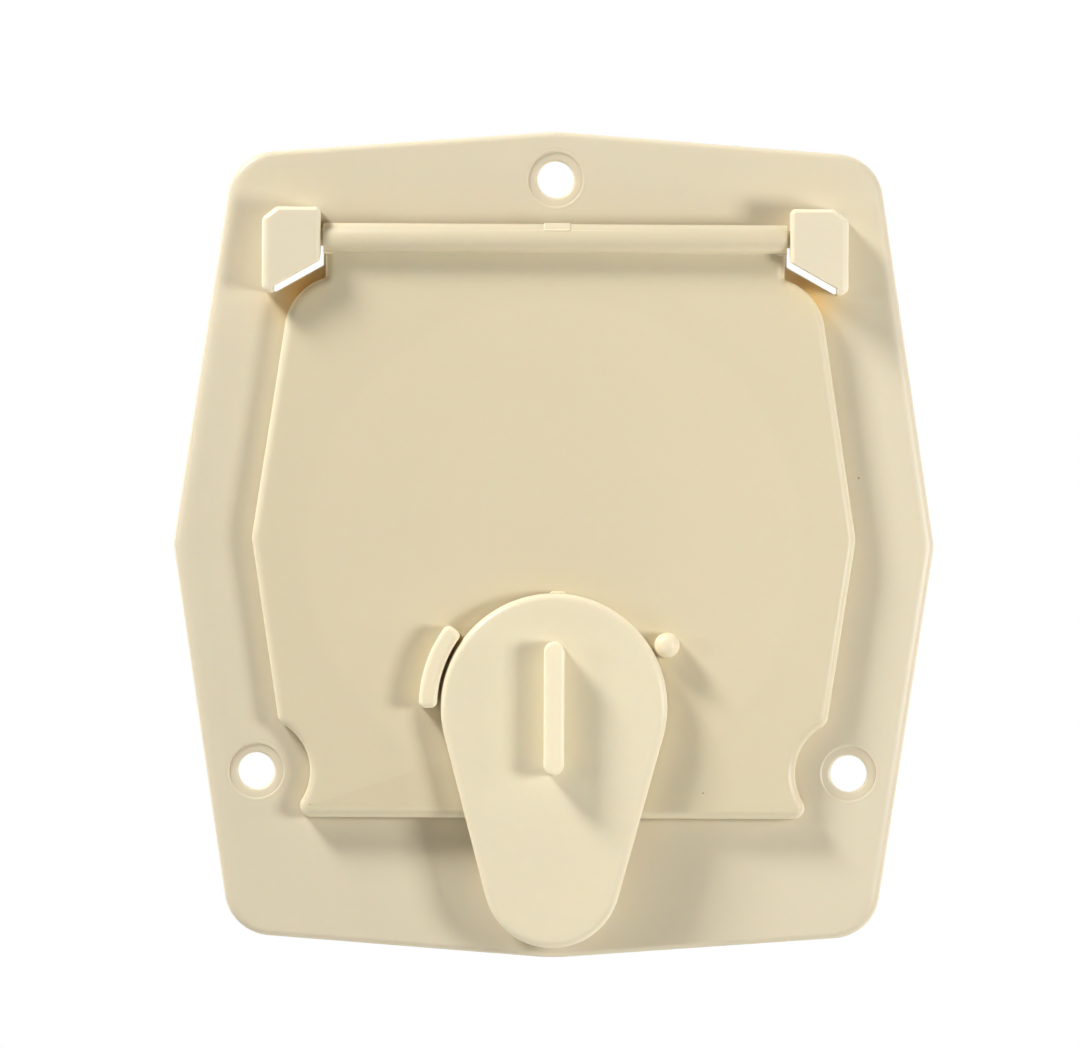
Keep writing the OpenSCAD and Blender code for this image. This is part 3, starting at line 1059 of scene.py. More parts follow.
@cache
def moulded_surface() -> bpy.types.ShaderNodeTree:
    """Makes the shared effect of moulded plastic: a slow mottling of the colour, a paler colour painted on
    outward edges as a painted highlight for the light that catches them and passes through them, a deeper
    colour painted in creases as painted shade, sparse specks, gloss that varies and a fine grain.

    Returns:
        The group.
    """
    wiring, given, place = effect(
        "moulded_surface",
        {
            "Color": GREY,
            "Edge Color": GREY,
            "Crease Color": GREY,
            "Speck Color": GREY,
            "Edge Strength": 0.7,
            "Crease Strength": 0.5,
            "Mottling": 0.03,
            "Roughness": 0.4,
            "Roughness Spread": 0.08,
        },
        {"Color": "NodeSocketColor", "Roughness": "NodeSocketFloat", "Height": "NodeSocketFloat"},
    )
    slow_scale, middle_scale, fine_scale, speck_scale = 45.0, 260.0, 2600.0, 150.0
    highlight_range, crease_shade_range, speck_reach, speck_rarity = (0.1, 0.9), (-0.15, -0.8), 0.025, 0.93
    slow = wiring.add("ShaderNodeTexNoise", Vector=place, Scale=slow_scale, Detail=3.0, Roughness=0.5)
    fine = wiring.add("ShaderNodeTexNoise", Vector=place, Scale=fine_scale, Detail=2.0)
    middle = wiring.add("ShaderNodeTexNoise", Vector=place, Scale=middle_scale, Detail=2.0)
    change = wiring.math("MULTIPLY", wiring.math("SUBTRACT", slow.outputs["Fac"], 0.5), given["Mottling"])
    value = wiring.math("ADD", change, 1.0)
    mottled = wiring.add("ShaderNodeHueSaturation", Color=given["Color"], Value=value)
    bend = wiring.add("ShaderNodeAttribute", {"attribute_name": "bend"}).outputs["Fac"]
    # The bend sets a painted highlight on outward edges and painted shade in creases.
    outward = wiring.ramp(bend, highlight_range, (0.0, given["Edge Strength"]))
    inward = wiring.ramp(bend, crease_shade_range, (0.0, given["Crease Strength"]))
    color = wiring.mix(outward, mottled.outputs["Color"], given["Edge Color"])
    color = wiring.mix(inward, color, given["Crease Color"])
    cells = wiring.add("ShaderNodeTexVoronoi", Vector=place, Scale=speck_scale, Randomness=1.0)
    dot = wiring.math("LESS_THAN", cells.outputs["Distance"], speck_reach)
    chance = wiring.add("ShaderNodeSeparateColor", Color=cells.outputs["Color"])
    rare = wiring.math("GREATER_THAN", chance.outputs["Red"], speck_rarity)
    color = wiring.mix(wiring.math("MULTIPLY", dot, rare), color, given["Speck Color"])
    uneven = wiring.math("SUBTRACT", middle.outputs["Fac"], 0.5)
    rough = wiring.math("MULTIPLY_ADD", uneven, given["Roughness Spread"], given["Roughness"])
    wiring.add("NodeGroupOutput", Color=color, Roughness=rough, Height=fine.outputs["Fac"])
    return wiring.tree


@cache
def painted_slot_light() -> bpy.types.ShaderNodeTree:
    """Makes the shared painted light beside the slots: the colour turns orange there, standing in for light
    that comes through the plastic and bounces in the hollows. It fades as exp(-d^2), with d the distance from
    the slots' middle in lengths of an ellipsoid along them.

    Returns:
        The group.
    """
    wiring, given, place = effect(
        "painted_slot_light",
        {"Color": GREY, "Glow Color": GREY, "Strength": 0.8},
        {"Color": "NodeSocketColor"},
    )
    at, lengths, slant = (0.0438, -0.0028, -0.0095), (0.0056, 0.0026, 0.0038), math.radians(29.5)
    parts = wiring.add("ShaderNodeSeparateXYZ", Vector=place).outputs
    across = wiring.math("ABSOLUTE", parts["X"])
    right = wiring.add("ShaderNodeCombineXYZ", X=across, Y=parts["Y"], Z=parts["Z"])
    near = wiring.add(
        "ShaderNodeMapping",
        {"vector_type": "TEXTURE"},
        Vector=right.outputs["Vector"],
        Location=at,
        Rotation=(0.0, slant, 0.0),
        Scale=lengths,
    )
    away = wiring.add("ShaderNodeVectorMath", {"operation": "LENGTH"}, Vector=near.outputs["Vector"])
    squared = wiring.math("POWER", away.outputs["Value"], 2.0)
    fading = wiring.math("EXPONENT", wiring.math("MULTIPLY", squared, -1.0))
    share = wiring.math("MULTIPLY", fading, given["Strength"])
    wiring.add("NodeGroupOutput", Color=wiring.mix(share, given["Color"], given["Glow Color"]))
    return wiring.tree


def round_mark() -> bpy.types.ShaderNodeTree:
    """Makes a faint round mark in a panel: past a radius round a given point the colour is a shade deeper.

    Returns:
        The group.
    """
    wiring, given, place = effect(
        "round_mark",
        {"Color": GREY, "Up": -0.054, "Radius": 0.0434, "Softness": 0.003, "Shade": 0.98},
        {"Color": "NodeSocketColor"},
    )
    parts = wiring.add("ShaderNodeSeparateXYZ", Vector=place).outputs
    up = wiring.math("SUBTRACT", parts["Z"], given["Up"])
    squares = wiring.math("MULTIPLY_ADD", up, up, wiring.math("POWER", parts["X"], 2.0))
    beyond = wiring.math("SUBTRACT", wiring.math("SQRT", squares), given["Radius"])
    step = wiring.math("DIVIDE", beyond, given["Softness"])
    share = wiring.ramp(step, (-0.5, 0.5), (1.0, given["Shade"]))
    deeper = wiring.add("ShaderNodeHueSaturation", Color=given["Color"], Value=share)
    wiring.add("NodeGroupOutput", Color=deeper.outputs["Color"])
    return wiring.tree


class Shade(Enum):
    """Shade of cream plastic, as its colour and the strength of the painted highlight at its edges. Frame, door
    and cover each have their own colour. The paler ears, stops and rib are painted light: lit copies of the
    plastic they belong to, for thin walls that light passes through and raised faces that catch more light."""

    FRAME = ((0.745, 0.665, 0.485, 1.0), 0.3)
    DOOR = ((0.745, 0.655, 0.452, 1.0), 0.9)
    EARS = ((0.80, 0.715, 0.53, 1.0), 0.8)
    COVER = ((0.84, 0.75, 0.54, 1.0), 0.85)
    RIB = ((0.97, 0.86, 0.62, 1.0), 0.9)
    STOPS = ((0.90, 0.79, 0.56, 1.0), 0.85)


@dataclass(frozen=True)
class CreamPlastic:
    """Satin moulded plastic in one shade of colonial cream, with a painted highlight on its edges, painted
    shade in its creases and painted light beside the slots.
    """

    shade: Shade
    marked: bool = False
    # Colours of the painted highlight on outward edges and of the painted shade in creases.
    edge: tuple[float, float, float, float] = (1.0, 0.88, 0.64, 1.0)
    crease: tuple[float, float, float, float] = (0.46, 0.31, 0.14, 1.0)
    speck: tuple[float, float, float, float] = (0.32, 0.22, 0.12, 1.0)
    # Painted light beside the slots: its colour and strength.
    slot_light_color: tuple[float, float, float, float] = (0.98, 0.66, 0.22, 1.0)
    slot_light_strength: float = 0.85
    # Strength of the painted shade in creases.
    crease_shade_strength: float = 0.08
    mottling: float = 0.03
    roughness: float = 0.38
    spread: float = 0.08
    grain: float = 0.000004
    ior: float = 1.5
    glow: float = 0.22
    glow_depth: float = 0.0022
    glow_radii: tuple[float, float, float] = (1.0, 0.5, 0.18)

    def material(self) -> bpy.types.Material:
        """Makes the material.

        Returns:
            The material, named after the shade.
        """
        # The shade's colour and the strength of its painted edge highlight.
        color, edge_highlight_strength = self.shade.value
        material, wiring = new_material(f"cream_plastic_of_{self.shade.name.lower()}")
        base: object = color
        if self.marked:
            base = wiring.add("ShaderNodeGroup", {"node_tree": round_mark()}, Color=color).outputs["Color"]
        glowing = wiring.add(
            "ShaderNodeGroup",
            {"node_tree": painted_slot_light()},
            Color=base,
            Glow_Color=self.slot_light_color,
            Strength=self.slot_light_strength,
        )
        look = wiring.add(
            "ShaderNodeGroup",
            {"node_tree": moulded_surface()},
            Color=glowing.outputs["Color"],
            Edge_Color=self.edge,
            Crease_Color=self.crease,
            Speck_Color=self.speck,
            Edge_Strength=edge_highlight_strength,
            Crease_Strength=self.crease_shade_strength,
            Mottling=self.mottling,
            Roughness=self.roughness,
            Roughness_Spread=self.spread,
        )
        bump = wiring.add("ShaderNodeBump", Height=look.outputs["Height"], Distance=self.grain)
        wiring.shade(
            Base_Color=look.outputs["Color"],
            Roughness=look.outputs["Roughness"],
            Normal=bump.outputs["Normal"],
            IOR=self.ior,
            Subsurface_Weight=self.glow,
            Subsurface_Radius=self.glow_radii,
            Subsurface_Scale=self.glow_depth,
        )
        return material


@dataclass(frozen=True)
class PlatedSteel:
    """Bright zinc-plated steel with fine scratches."""

    color: tuple[float, float, float, float] = (0.62, 0.62, 0.63, 1.0)
    roughness: tuple[float, float] = (0.18, 0.38)
    scratches: tuple[float, float, float] = (4000.0, 4000.0, 300.0)

    def material(self) -> bpy.types.Material:
        """Makes the material.

        Returns:
            The material.
        """
        low, high = self.roughness
        material, wiring = new_material("zinc_plated_steel")
        place = wiring.add("ShaderNodeTexCoord").outputs["Object"]
        stretched = wiring.add("ShaderNodeMapping", Vector=place, Scale=self.scratches)
        grain = wiring.add("ShaderNodeTexNoise", Vector=stretched.outputs["Vector"], Scale=1.0)
        rough = wiring.math("MULTIPLY_ADD", grain.outputs["Fac"], high - low, low)
        wiring.shade(Base_Color=self.color, Roughness=rough, Metallic=1.0)
        return material


@dataclass
class Assembly:
    """A sub-assembly, drawn on the plan between its heights and moulded in shades of cream plastic. Each kind
    names the body that its pieces move with."""

    body = Body.BASE
    plan: Plan
    heights: Heights
    plastics: dict[Shade, bpy.types.Material]

    def mould(self, obj: bpy.types.Object, node: str, shade: Shade) -> None:
        """Dresses a piece in cream plastic, in place of a node."""
        dress(obj, self.body, self.plastics[shade], node)


@dataclass
class BaseFrame(Assembly):
    """The flange that is screwed to the wall, with its ears, its lip and the collar behind it."""

    body = Body.BASE
    side_edge_w: float = 2.3
    gable_edge_w: float = 1.0
    edge_h: float = 1.1
    rear_edge: float = 0.2
    opening_edge: float = 0.4
    slot_edge: float = 0.15
    seat_depth: float = 0.3
    seat_edge: float = 0.2
    ring_out: float = 0.6
    ring_w: float = 0.2
    ring_depth: float = 0.02
    hole_bevel: float = 0.4
    collar_t: float = 2.0
    collar_edge: float = 0.4
    lip_edge: float = 0.5
    ear_edge_h: float = 1.2
    ear_edges: tuple[float, ...] = (0.25, 0.2, 0.9, 1.33, 0.9, 0.7, 0.9)
    ear_corners: tuple[float, ...] = (0.7, 0.2, 0.3, 1.4, 1.4, 1.4, 1.0)
    foot_margin: float = 0.2
    point_steps: int = 16

    def seat_steps(self) -> list[tuple[float, float]]:
        """Works out the section of a screw hole: the fine ring round its seat, the seat, a rounded edge and
        the bore.

        Returns:
            Its (radius, height) steps from the flange's face to its back.
        """
        plan, front, bevel = self.plan, self.heights.flange, self.hole_bevel
        seat, soft = front - self.seat_depth, self.seat_edge
        ring, half = plan.seat_r + self.ring_out, self.ring_w / 2
        return [
            (ring + 3 * half, front),
            (ring + half, front),
            (ring, front - self.ring_depth),
            (ring - half, front),
            (plan.seat_r + soft * 0.5, front),
            (plan.seat_r, front - soft * 0.3),
            (plan.seat_r - soft * 0.3, seat + soft * 0.25),
            (plan.seat_r - soft, seat),
            (plan.screw_r + bevel + soft * 0.5, seat),
            (plan.screw_r + bevel * 0.6, seat - bevel * 0.2),
            (plan.screw_r + bevel * 0.15, seat - bevel * 0.6),
            (plan.screw_r, seat - bevel),
            (plan.screw_r, 0),
            (plan.screw_r + FLAT, 0),
        ]

    def flange(self) -> None:
        """Builds the flange with its opening, its holes in shallow seats and the slots behind the ears."""
        plan, front = self.plan, self.heights.flange
        widths = np.array([self.gable_edge_w, self.side_edge_w, self.side_edge_w, self.gable_edge_w] * 2)
        side_r = [plan.flange_corner_r, plan.point_r, plan.flange_corner_r]
        radii = [plan.low_point_r, *side_r, plan.top_point_r, *side_r]
        outline = Sided(plan.flange_corners, radii, widths / self.side_edge_w, self.point_steps)
        outer = rounded(self.side_edge_w, self.edge_h, front)
        inner = rounded(self.opening_edge, self.opening_edge, front) * (-1, 1)
        soft = self.slot_edge
        slot = [(-FLAT, front), (-soft, front), (0, front - soft), (0, 0), (-FLAT, 0)]
        seat = [(plan.seat_r - r, height) for r, height in self.seat_steps()]
        skin = Skin()
        ends = [
            skin.sweep(outline, [*outer, (0, self.rear_edge), (self.rear_edge, 0), (FLAT, 0)]),
            skin.sweep(plan.opening, [*inner, (0, 0), (-FLAT, 0)]),
            *[skin.sweep(plan.slot(side), slot) for side in Side],
            *[skin.sweep(circle(screw, plan.seat_r), seat) for screw in plan.screws],
        ]
        for rings in zip(*ends):
            skin.cap(*rings)
        self.mould(skin.mesh("flange_skin"), "base_flange", Shade.FRAME)

    def collar(self) -> None:
        """Builds the wall behind the flange, with its rear edge rounded."""
        back, soft, outer = self.heights.collar, self.collar_edge, -self.collar_t
        mid = soft * EDGE_MIDDLE
        skin = Skin()
        rings = skin.sweep(
            self.plan.opening,
            [
                (outer, 0),
                (outer, back + soft),
                (outer + mid, back + mid),
                (outer + soft, back),
                (-soft, back),
                (-mid, back + mid),
                (0, back + soft),
                (0, 0),
            ],
        )
        skin.cap(*rings)
        self.mould(skin.mesh("collar_skin"), "rear_collar", Shade.FRAME)

    def lip(self) -> None:
        """Builds the raised U round the notch."""
        plan, edge = self.plan, self.lip_edge
        tail, outer, top = tuple(plan.tail), plan.notch_r + plan.lip_t, plan.door_bottom - plan.stop_gap
        outline = Outline([
            Arc(tail, outer, -180, 0),
            corner((outer, top), edge, 0, 90),
            corner((plan.notch_r, top), edge, 90, 180),
            Arc(tail, -plan.notch_r, 180, 0),
            corner((-plan.notch_r, top), edge, 0, 90),
            corner((-outer, top), edge, 90, 180),
        ])
        section = [*rounded(edge, edge, self.heights.door, NARROW), (0, self.heights.flange - SUNK)]
        self.mould(closed(outline, section).mesh("lip_skin"), "cord_notch_lip", Shade.FRAME)

    def ear(self, side: Side) -> None:
        """Builds an ear: a block with rounded edges, hollowed from behind, cut at a slant over its slot, with
        a cheek that holds the pin.

        Args:
            side: the side of the hatch that it stands at.
        """
        plan, heights, thick = self.plan, self.heights, self.plan.ear_wall
        near, wall, out = plan.ear_x, plan.ear_out - thick, plan.ear_out
        top, low, deep = plan.ear_up, plan.ear_low, heights.flange - SUNK
        slope = math.tan(math.radians(plan.ear_slant))
        widths = np.array(self.ear_edges)
        outline = Sided(
            [
                (near, -plan.ear_inner_down),
                (wall, -plan.ear_inner_down - (wall - near) * slope),
                (wall, low),
                (out, low),
                (out, top - plan.ear_chamfer_h),
                (out - plan.ear_chamfer_w, top),
                (near, top),
            ],
            self.ear_corners,
            widths / widths.max(),
        )
        name = side.name.lower()
        section = [*rounded(widths.max(), self.ear_edge_h, heights.ear), (0, deep)]
        ear = closed(outline, section).mesh(f"{name}_ear_skin", side=side)
        cheek, past, room = near + thick, near - BEYOND, -2 * plan.pin_r
        cavity = Sided([
            (cheek, top - thick),
            (cheek, room),
            (past, room),
            (past, low - BEYOND),
            (wall, low - BEYOND),
            (wall, top - plan.ear_chamfer_h - thick / 2),
            (out - plan.ear_chamfer_w - thick / 2, top - thick),
        ])
        foot = Sided([
            (past - self.foot_margin, room - self.foot_margin),
            (wall, room - self.foot_margin),
            (wall, plan.slot_margin),
            (past - self.foot_margin, plan.slot_margin),
        ])
        bearing = circle((-heights.hinge, 0), plan.pin_r + plan.pin_clear, FINE_PITCH)
        combine(
            ear,
            Operation.DIFFERENCE,
            prism(cavity, deep - BEYOND, heights.ear - thick).mesh("cavity", side=side),
            prism(foot, deep - BEYOND, heights.hinge + room).mesh("foot", side=side),
            prism(bearing, past, cheek + BEYOND).mesh("bearing", View.RIGHT, side),
        )
        self.mould(ear, f"{name}_hinge_ear", Shade.EARS)

    def build(self) -> None:
        """Builds all pieces of the base."""
        self.flange()
        self.collar()
        self.lip()
        for side in Side:
            self.ear(side)


@dataclass
class HatchDoor(Assembly):
    """The door that turns up about its barrel, with its stops and what lies behind it."""

    body = Body.DOOR
    edge: float = 1.5
    fade: float = 0.65
    rim_t: float = 1.6
    rim_edge: float = 0.25
    stem_hole_r: float = 3.6
    crease_r: float = 0.25
    root_r: float = 0.2
    barrel_start: float = -30.0
    barrel_end: float = 0.2
    pad_x: tuple[float, float] = (-2.0, 2.66)
    pad_angles: tuple[float, float] = (96.0, 149.5)
    pad_rise: float = 0.22
    pad_edge: float = 0.15
    pin_end: float = 0.4
    rib_edge_w: float = 0.95
    rib_edge_h: float = 0.855
    post_edge: float = 1.9
    boss_r: float = 6.0
    boss_edge: float = 0.3
    boss_in: float = 0.2
    tongue_w: float = 12.0
    tongue_x: float = 17.0
    tongue_t: float = 1.8
    tongue_gap: float = 0.9
    tongue_reach: float = 3.0
    tongue_corner_r: float = 0.15
    tongue_edge: float = 0.1
    bead: float = 0.3

    def panel(self) -> None:
        """Builds the panel, its front edge rounded, and the rim turned back round it."""
        plan, soft, thick = self.plan, self.rim_edge, self.rim_t
        front, back, rear = self.heights.door, self.heights.door_skin, self.heights.door_back
        skin = Skin()
        first, last = skin.sweep(
            plan.door,
            [*rounded(self.edge, self.edge, front, self.fade), (0, back), (thick + FLAT, back)],
        )
        high, low = skin.sweep(
            circle(plan.pivot, self.stem_hole_r), [(-FLAT, front), (0, front), (0, back), (-FLAT, back)]
        )
        skin.cap(first, high)
        skin.cap(last, low)
        rings = skin.sweep(
            plan.rim,
            [
                (soft, back + soft),
                (0, back),
                (0, rear + soft),
                (soft, rear),
                (thick - soft, rear),
                (thick, rear + soft),
                (thick, back + soft),
            ],
        )
        skin.cap(*rings)
        self.mould(skin.mesh("door_skin"), "door_panel", Shade.DOOR)

    def barrel(self) -> None:
        """Builds the barrel with its hollow crease towards the door and the small pad on its top."""
        r, crease, root = self.plan.barrel_r, self.crease_r, self.root_r
        axis, face = -self.heights.hinge, -self.heights.door
        across = face - crease - axis
        up = -math.sqrt((r + crease) ** 2 - across**2)
        meet = math.degrees(math.atan2(up, across)) + 360
        outline = Outline([
            Arc((axis, 0), r, self.barrel_start, meet),
            Arc((axis + across, up), -crease, meet, 180),
            Arc((face + root, up), root, 180, 360),
        ])
        x, end, mid = self.plan.barrel_x, self.barrel_end, self.barrel_end * EDGE_MIDDLE
        section = [(end, -x), (mid, mid - x), (0, end - x), (0, x - end), (mid, x - mid), (end, x)]
        barrel = closed(outline, section).mesh("barrel_skin", View.RIGHT)
        pad = ring_stretch((axis, 0), r - SUNK, r + self.pad_rise, *self.pad_angles, self.pad_edge)
        combine(barrel, Operation.UNION, bar(pad, *self.pad_x, self.pad_edge).mesh("pad", View.RIGHT))
        self.mould(barrel, "hinge_barrel", Shade.DOOR)

    def pin(self, side: Side) -> None:
        """Builds a hinge pin with a chamfered end.

        Args:
            side: the side of the hatch that it stands at.
        """
        plan, r, name = self.plan, self.plan.pin_r, side.name.lower()
        end, start = plan.ear_x + plan.ear_wall + plan.ear_gap, plan.barrel_x - SUNK
        skin = turned(
            (-self.heights.hinge, 0),
            [(0, end), (r - self.pin_end, end), (r, end - self.pin_end), (r, start), (0, start)],
        )
        self.mould(skin.mesh(f"{name}_pin_skin", View.RIGHT, side), f"{name}_hinge_pin", Shade.DOOR)

    def stops(self) -> None:
        """Builds the curved rib and the domed post that the cover turns against."""
        plan, top, low = self.plan, self.heights.stops, self.heights.door - SUNK
        edge = rounded(self.rib_edge_w, self.rib_edge_h, top, NARROW)
        self.mould(closed(plan.stop_rib, [*edge, (0, low)]).mesh("stop_rib_skin"), "stop_rib", Shade.STOPS)
        dome = rounded(self.post_edge, self.post_edge, top, NARROW)
        profile = [(plan.post_r - inset, height) for inset, height in dome]
        post = turned(plan.post, [(0, top), *profile, (plan.post_r, low), (0, low)])
        self.mould(post.mesh("stop_post_skin"), "stop_post", Shade.STOPS)

    def boss(self) -> None:
        """Builds the boss behind the door that the stem turns in."""
        back, root = self.heights.boss, self.heights.door_skin + self.boss_in
        r, hole, soft = self.boss_r, self.stem_hole_r, self.boss_edge
        skin = turned(
            self.plan.pivot,
            [
                (r, root),
                (r, back + soft),
                (r - soft, back),
                (hole + soft, back),
                (hole, back + soft),
                (hole, root),
            ],
        )
        self.mould(skin.mesh("boss_skin"), "pivot_boss", Shade.DOOR)

    def tongue(self, side: Side) -> None:
        """Builds a catch tongue with a bead under its tip.

        Args:
            side: the side of the hatch that it stands at.
        """
        plan, bead, reach = self.plan, self.bead, self.tongue_reach
        low = plan.door_bottom + plan.door_overlap + self.tongue_gap
        root, high = -self.heights.door_skin - SUNK, low + self.tongue_t
        outline = Sided(
            [
                (root, low),
                (reach - 4 * bead, low),
                (reach - 3 * bead, low - bead),
                (reach - 2 * bead, low - bead),
                (reach, low + bead),
                (reach, high - bead),
                (reach - bead, high),
                (root, high),
            ],
            self.tongue_corner_r,
        )
        name, near = side.name.lower(), self.tongue_x
        skin = bar(outline, near, near + self.tongue_w, self.tongue_edge)
        self.mould(skin.mesh(f"{name}_tongue_skin", View.RIGHT, side), f"{name}_catch_tongue", Shade.DOOR)

    def build(self) -> None:
        """Builds all pieces of the door."""
        self.panel()
        self.barrel()
        self.stops()
        self.boss()
        for side in Side:
            self.pin(side)
            self.tongue(side)


@dataclass
class CordCover(Assembly):
    """The teardrop cover, its finger rib, and the stem, washer and screw that hold it to the door."""

    steel: bpy.types.Material
    body = Body.COVER
    edge: float = 1.3
    fade: float = 0.5
    rim_t: float = 2.0
    rim_edge: float = 0.2
    sink_up: float = 1.0
    sink_r: float = 3.2
    sink_depth: float = 0.06
    sink_spread: float = 2.6
    sink_pitch: float = 0.3
    finger_edge: float = 0.65
    finger_fade: float = 0.5
    nib_x: float = 0.7
    nib_w: float = 2.0
    nib_out: float = 0.06
    nib_in: float = 0.8
    nib_below: float = 0.9
    nib_edge_w: float = 0.2
    nib_edge_h: float = 0.3
    nib_flat: float = 0.02
    stem_r: float = 3.5
    stem_edge: float = 0.3
    stem_in: float = 0.2
    shank_r: float = 1.45
    shank_clear: float = 0.1
    shank_l: float = 6.0
    shank_end: float = 0.5
    washer_r: float = 6.0
    washer_edge: float = 0.15
    screw_head_r: float = 3.0
    dome_w: float = 1.6
    dome_h: float = 1.4
    dome_flat: float = 0.2
    cross_l: float = 3.4
    cross_w: float = 0.6
    cross_out: float = 0.5
    cross_depth: float = 1.1
    cross_turns: tuple[int, int] = (45, 135)

    def cover(self) -> None:
        """Builds the cover, hollow behind, with a shallow sink mark in its tail and a nib on its head."""
        plan, heights, back = self.plan, self.heights, self.heights.cover_back
        soft, thick = self.rim_edge, self.rim_t
        skin = Skin()
        first, last = skin.sweep(
            plan.cover,
            [
                *rounded(self.edge, self.edge, heights.cover, self.fade),
                (0, back + soft),
                (soft, back),
                (thick - soft, back),
                (thick, back + soft),
                (thick, heights.cover_skin),
                (thick + FLAT, heights.cover_skin),
            ],
        )
        sink, reach = plan.tail + (0, self.sink_up), self.sink_spread * self.sink_r
        steps = np.arange(-reach, reach, self.sink_pitch)
        grid = np.stack(np.meshgrid(steps, steps), axis=-1).reshape(-1, 2)
        skin.cap(first, inner=sink + grid[np.linalg.norm(grid, axis=1) < reach])
        skin.cap(last)
        skin.press(sink, self.sink_r, self.sink_depth, heights.cover - SAME_POINT)
        cover = skin.mesh("cover_skin")
        top, half = plan.pivot[1] + plan.head_r, self.nib_w / 2
        nib = Sided(
            [
                (self.nib_x - 2 * half, top - self.nib_in),
                (self.nib_x + 2 * half, top - self.nib_in),
                (self.nib_x + half, top + self.nib_out),
                (self.nib_x - half, top + self.nib_out),
            ],
            self.nib_edge_w,
        )
        edge = rounded(self.nib_edge_w, self.nib_edge_h, heights.cover - self.nib_below, self.nib_flat)
        combine(cover, Operation.UNION, closed(nib, [*edge, (0, back + BEYOND)]).mesh("nib"))
        self.mould(cover, "cord_cover", Shade.COVER)

    def finger(self) -> None:
        """Builds the upright rib that the fingers turn the cover by."""
        edge = rounded(self.finger_edge, self.finger_edge, self.heights.finger, self.finger_fade)
        skin = closed(self.plan.finger, [*edge, (0, self.heights.cover - SUNK)])
        self.mould(skin.mesh("finger_skin"), "finger_rib", Shade.RIB)

    def stem(self) -> None:
        """Builds the stem that turns in the door's boss."""
        r, hole, soft = self.stem_r, self.shank_r + self.shank_clear, self.stem_edge
        end, root = self.heights.stem, self.heights.cover_skin + self.stem_in
        skin = turned(
            self.plan.pivot, [(r, root), (r, end + soft), (r - soft, end), (hole, end), (hole, root)]
        )
        self.mould(skin.mesh("stem_skin"), "pivot_stem", Shade.COVER)

    def washer(self) -> None:
        """Builds the washer behind the boss."""
        front, back, soft = self.heights.stem, self.heights.washer, self.washer_edge
        r, hole = self.washer_r, self.shank_r + self.shank_clear
        skin = turned(
            self.plan.pivot,
            [
                (r - soft, front),
                (r, front - soft),
                (r, back + soft),
                (r - soft, back),
                (hole, back),
                (hole, front),
            ],
        )
        dress(skin.mesh("washer_skin"), self.body, self.steel, "pivot_washer")

    def screw(self) -> None:
        """Builds the pan-headed screw with its cross recess."""
        pivot, head, shank, end = self.plan.pivot, self.screw_head_r, self.shank_r, self.shank_end
        face, under, tip = self.heights.screw, self.heights.washer, self.heights.stem + self.shank_l
        dome = rounded(self.dome_w, self.dome_h, 0, self.dome_flat)
        profile = [(head - inset, face - height) for inset, height in dome]
        rod = [(head, under), (shank, under), (shank, tip - end), (shank - end, tip), (0, tip)]
        screw = turned(pivot, [(0, face), *profile, *rod]).mesh("screw_skin")
        arms = []
        for turn in self.cross_turns:
            along, wide = self.cross_l / 2 * unit(turn), self.cross_w / 2 * unit(turn + 90)
            arm = Sided(pivot + [-along - wide, along - wide, along + wide, -along + wide])
            cut = prism(arm, face - self.cross_out, face + self.cross_depth)
            arms.append(cut.mesh(f"recess_{turn}"))
        combine(screw, Operation.DIFFERENCE, *arms)
        dress(screw, self.body, self.steel, "pivot_screw")

    def build(self) -> None:
        """Builds all pieces of the cover."""
        self.cover()
        self.finger()
        self.stem()
        self.washer()
        self.screw()


@dataclass(frozen=True)
class Lamp:
    """A rectangular softbox that points at the hatch. Sizes and distance are in metres."""

    name: str
    azimuth: float
    elevation: float
    width: float
    height: float
    power: float
    distance: float = 1.0


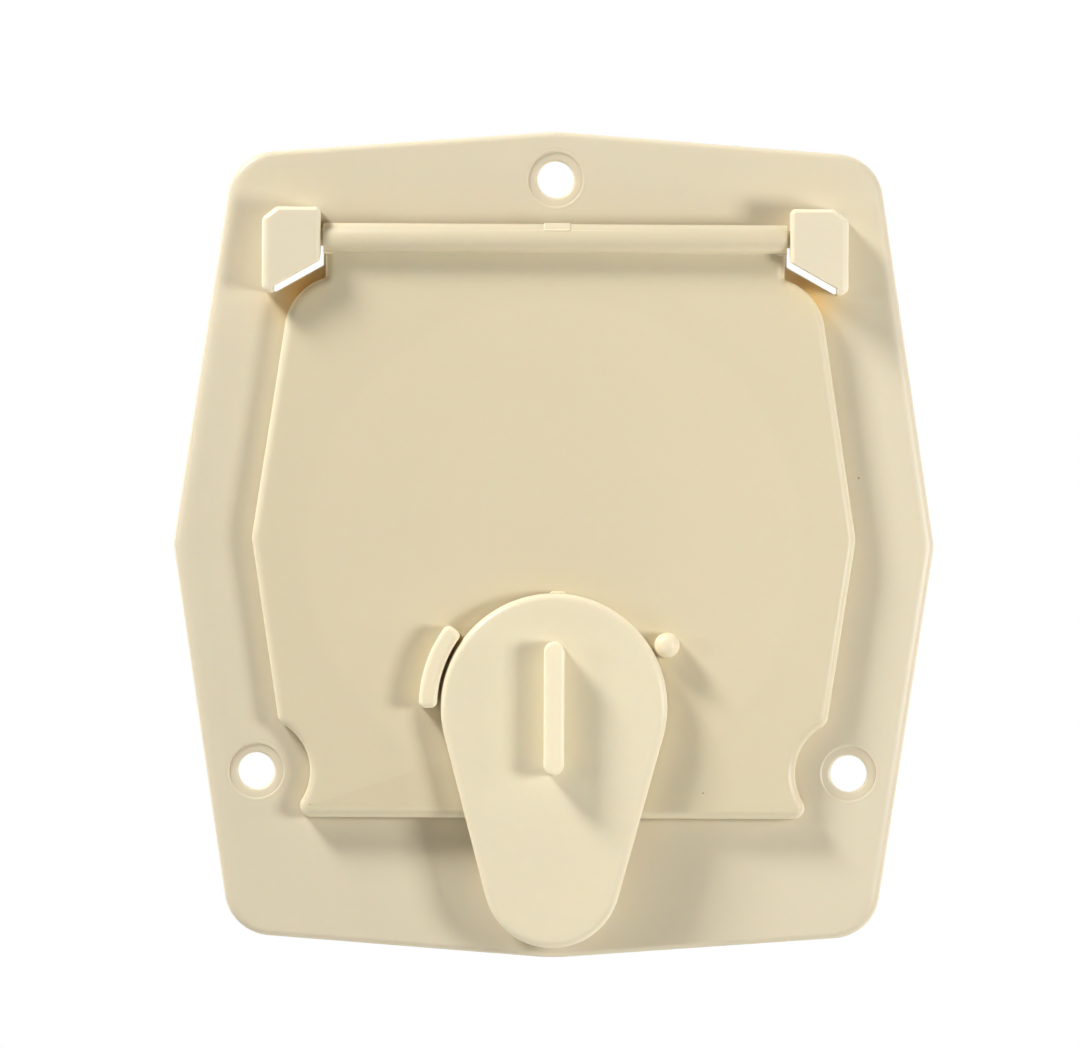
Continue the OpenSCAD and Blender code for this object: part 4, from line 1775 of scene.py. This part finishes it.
@dataclass(frozen=True)
class Studio:
    """Softboxes to the sides, a white surround, a pale floor below the view, and the camera, in metres."""

    view_width: float = 0.1888
    distance: float = 3.0
    sensor: float = 36.0
    clip: tuple[float, float] = (0.05, 10.0)
    aim: tuple[float, float, float] = (-0.0025, -0.0024, -0.0499)
    roll: float = 0.3
    floor_z: float = -0.6
    floor_reach: float = 1.2
    floor_color: tuple[float, float, float, float] = (0.8, 0.8, 0.79, 1.0)
    floor_roughness: float = 0.7
    ambient: float = 0.0
    backdrop: float = 1.0
    lamps: tuple[Lamp, ...] = (
        Lamp("softbox_upper_left", -58, 45, 0.24, 0.24, 9.9),
        Lamp("softbox_left", -57, 3, 0.2, 0.2, 1.3),
        Lamp("softbox_right", 48, -2, 0.12, 0.12, 1.36, 0.5),
        Lamp("strip_right", 72, 4, 0.2, 0.4, 1.3),
    )

    def camera(self) -> None:
        """Places the camera straight in front of the hatch, turned by the roll of the picture."""
        data = bpy.data.cameras.new("camera")
        data.sensor_width = self.sensor
        data.lens = self.sensor * self.distance / self.view_width
        data.clip_start, data.clip_end = self.clip
        camera = bpy.data.objects.new("camera", data)
        across, depth, up = self.aim
        place = Matrix.Translation((across, depth - self.distance, up))
        level = Matrix.Rotation(math.radians(90), 4, "X")
        camera.matrix_world = place @ level @ Matrix.Rotation(math.radians(self.roll), 4, "Z")
        bpy.context.scene.collection.objects.link(camera)
        bpy.context.scene.camera = camera

    def light(self) -> None:
        """Places the softboxes, each turned towards the middle of the hatch."""
        for lamp in self.lamps:
            data = bpy.data.lights.new(lamp.name, "AREA")
            data.shape = "RECTANGLE"
            data.size = lamp.width
            data.size_y = lamp.height
            data.energy = lamp.power
            obj = bpy.data.objects.new(lamp.name, data)
            turn = Matrix.Rotation(math.radians(lamp.azimuth), 4, "Z")
            tilt = Matrix.Rotation(math.radians(90 - lamp.elevation), 4, "X")
            away = Matrix.Translation((0, 0, lamp.distance))
            obj.matrix_world = Matrix.Translation(self.aim) @ turn @ tilt @ away
            bpy.context.scene.collection.objects.link(obj)

    def surround(self) -> None:
        """Sets the world: white to the camera and behind the hatch, where it also shows in reflections, and
        dark in front, where the softboxes light the hatch."""
        world = bpy.data.worlds.new("surround")
        world.use_nodes = True
        bpy.context.scene.world = world
        wiring = Wiring(world.node_tree)
        rays = wiring.add("ShaderNodeLightPath").outputs
        direction = wiring.add("ShaderNodeTexCoord").outputs["Generated"]
        depth = wiring.add("ShaderNodeSeparateXYZ", Vector=direction).outputs["Y"]
        behind = wiring.math("GREATER_THAN", depth, 0.0)
        reflected = wiring.math("MULTIPLY", rays["Is Glossy Ray"], behind)
        through = wiring.math("MAXIMUM", rays["Is Transmission Ray"], reflected)
        seen = wiring.math("MAXIMUM", rays["Is Camera Ray"], through)
        light = wiring.math("MULTIPLY_ADD", behind, self.backdrop - self.ambient, self.ambient)
        strength = wiring.math("MAXIMUM", seen, light)
        wiring.feed(world.node_tree.nodes["Background"], Strength=strength, Color=WHITE)

    def floor(self) -> None:
        """Lays a plain pale floor below the view."""
        mesh = bpy.data.meshes.new("studio_floor")
        corners = np.array([(-1, -1), (1, -1), (1, 1), (-1, 1)]) * self.floor_reach
        places = np.column_stack([corners, np.full(4, self.floor_z)])
        mesh.from_pydata(places.tolist(), [], [(0, 1, 2, 3)])
        material, wiring = new_material("pale_floor")
        wiring.shade(Base_Color=self.floor_color, Roughness=self.floor_roughness)
        mesh.materials.append(material)
        floor = bpy.data.objects.new("studio_floor", mesh)
        bpy.context.scene.collection.objects.link(floor)

    def build(self) -> None:
        """Sets up the whole studio."""
        self.camera()
        self.light()
        self.surround()
        self.floor()
        bpy.context.scene.view_settings.view_transform = "Standard"


def main() -> None:
    """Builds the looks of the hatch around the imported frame."""
    logging.basicConfig(level=logging.INFO, format="%(message)s")
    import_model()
    Studio().build()
    plan, heights = Plan(), Heights.of_frame()
    plastics = {shade: CreamPlastic(shade, marked=shade is Shade.DOOR).material() for shade in Shade}
    BaseFrame(plan, heights, plastics).build()
    HatchDoor(plan, heights, plastics).build()
    CordCover(plan, heights, plastics, PlatedSteel().material()).build()
    bpy.context.view_layer.update()


if __name__ == "__main__":
    main()
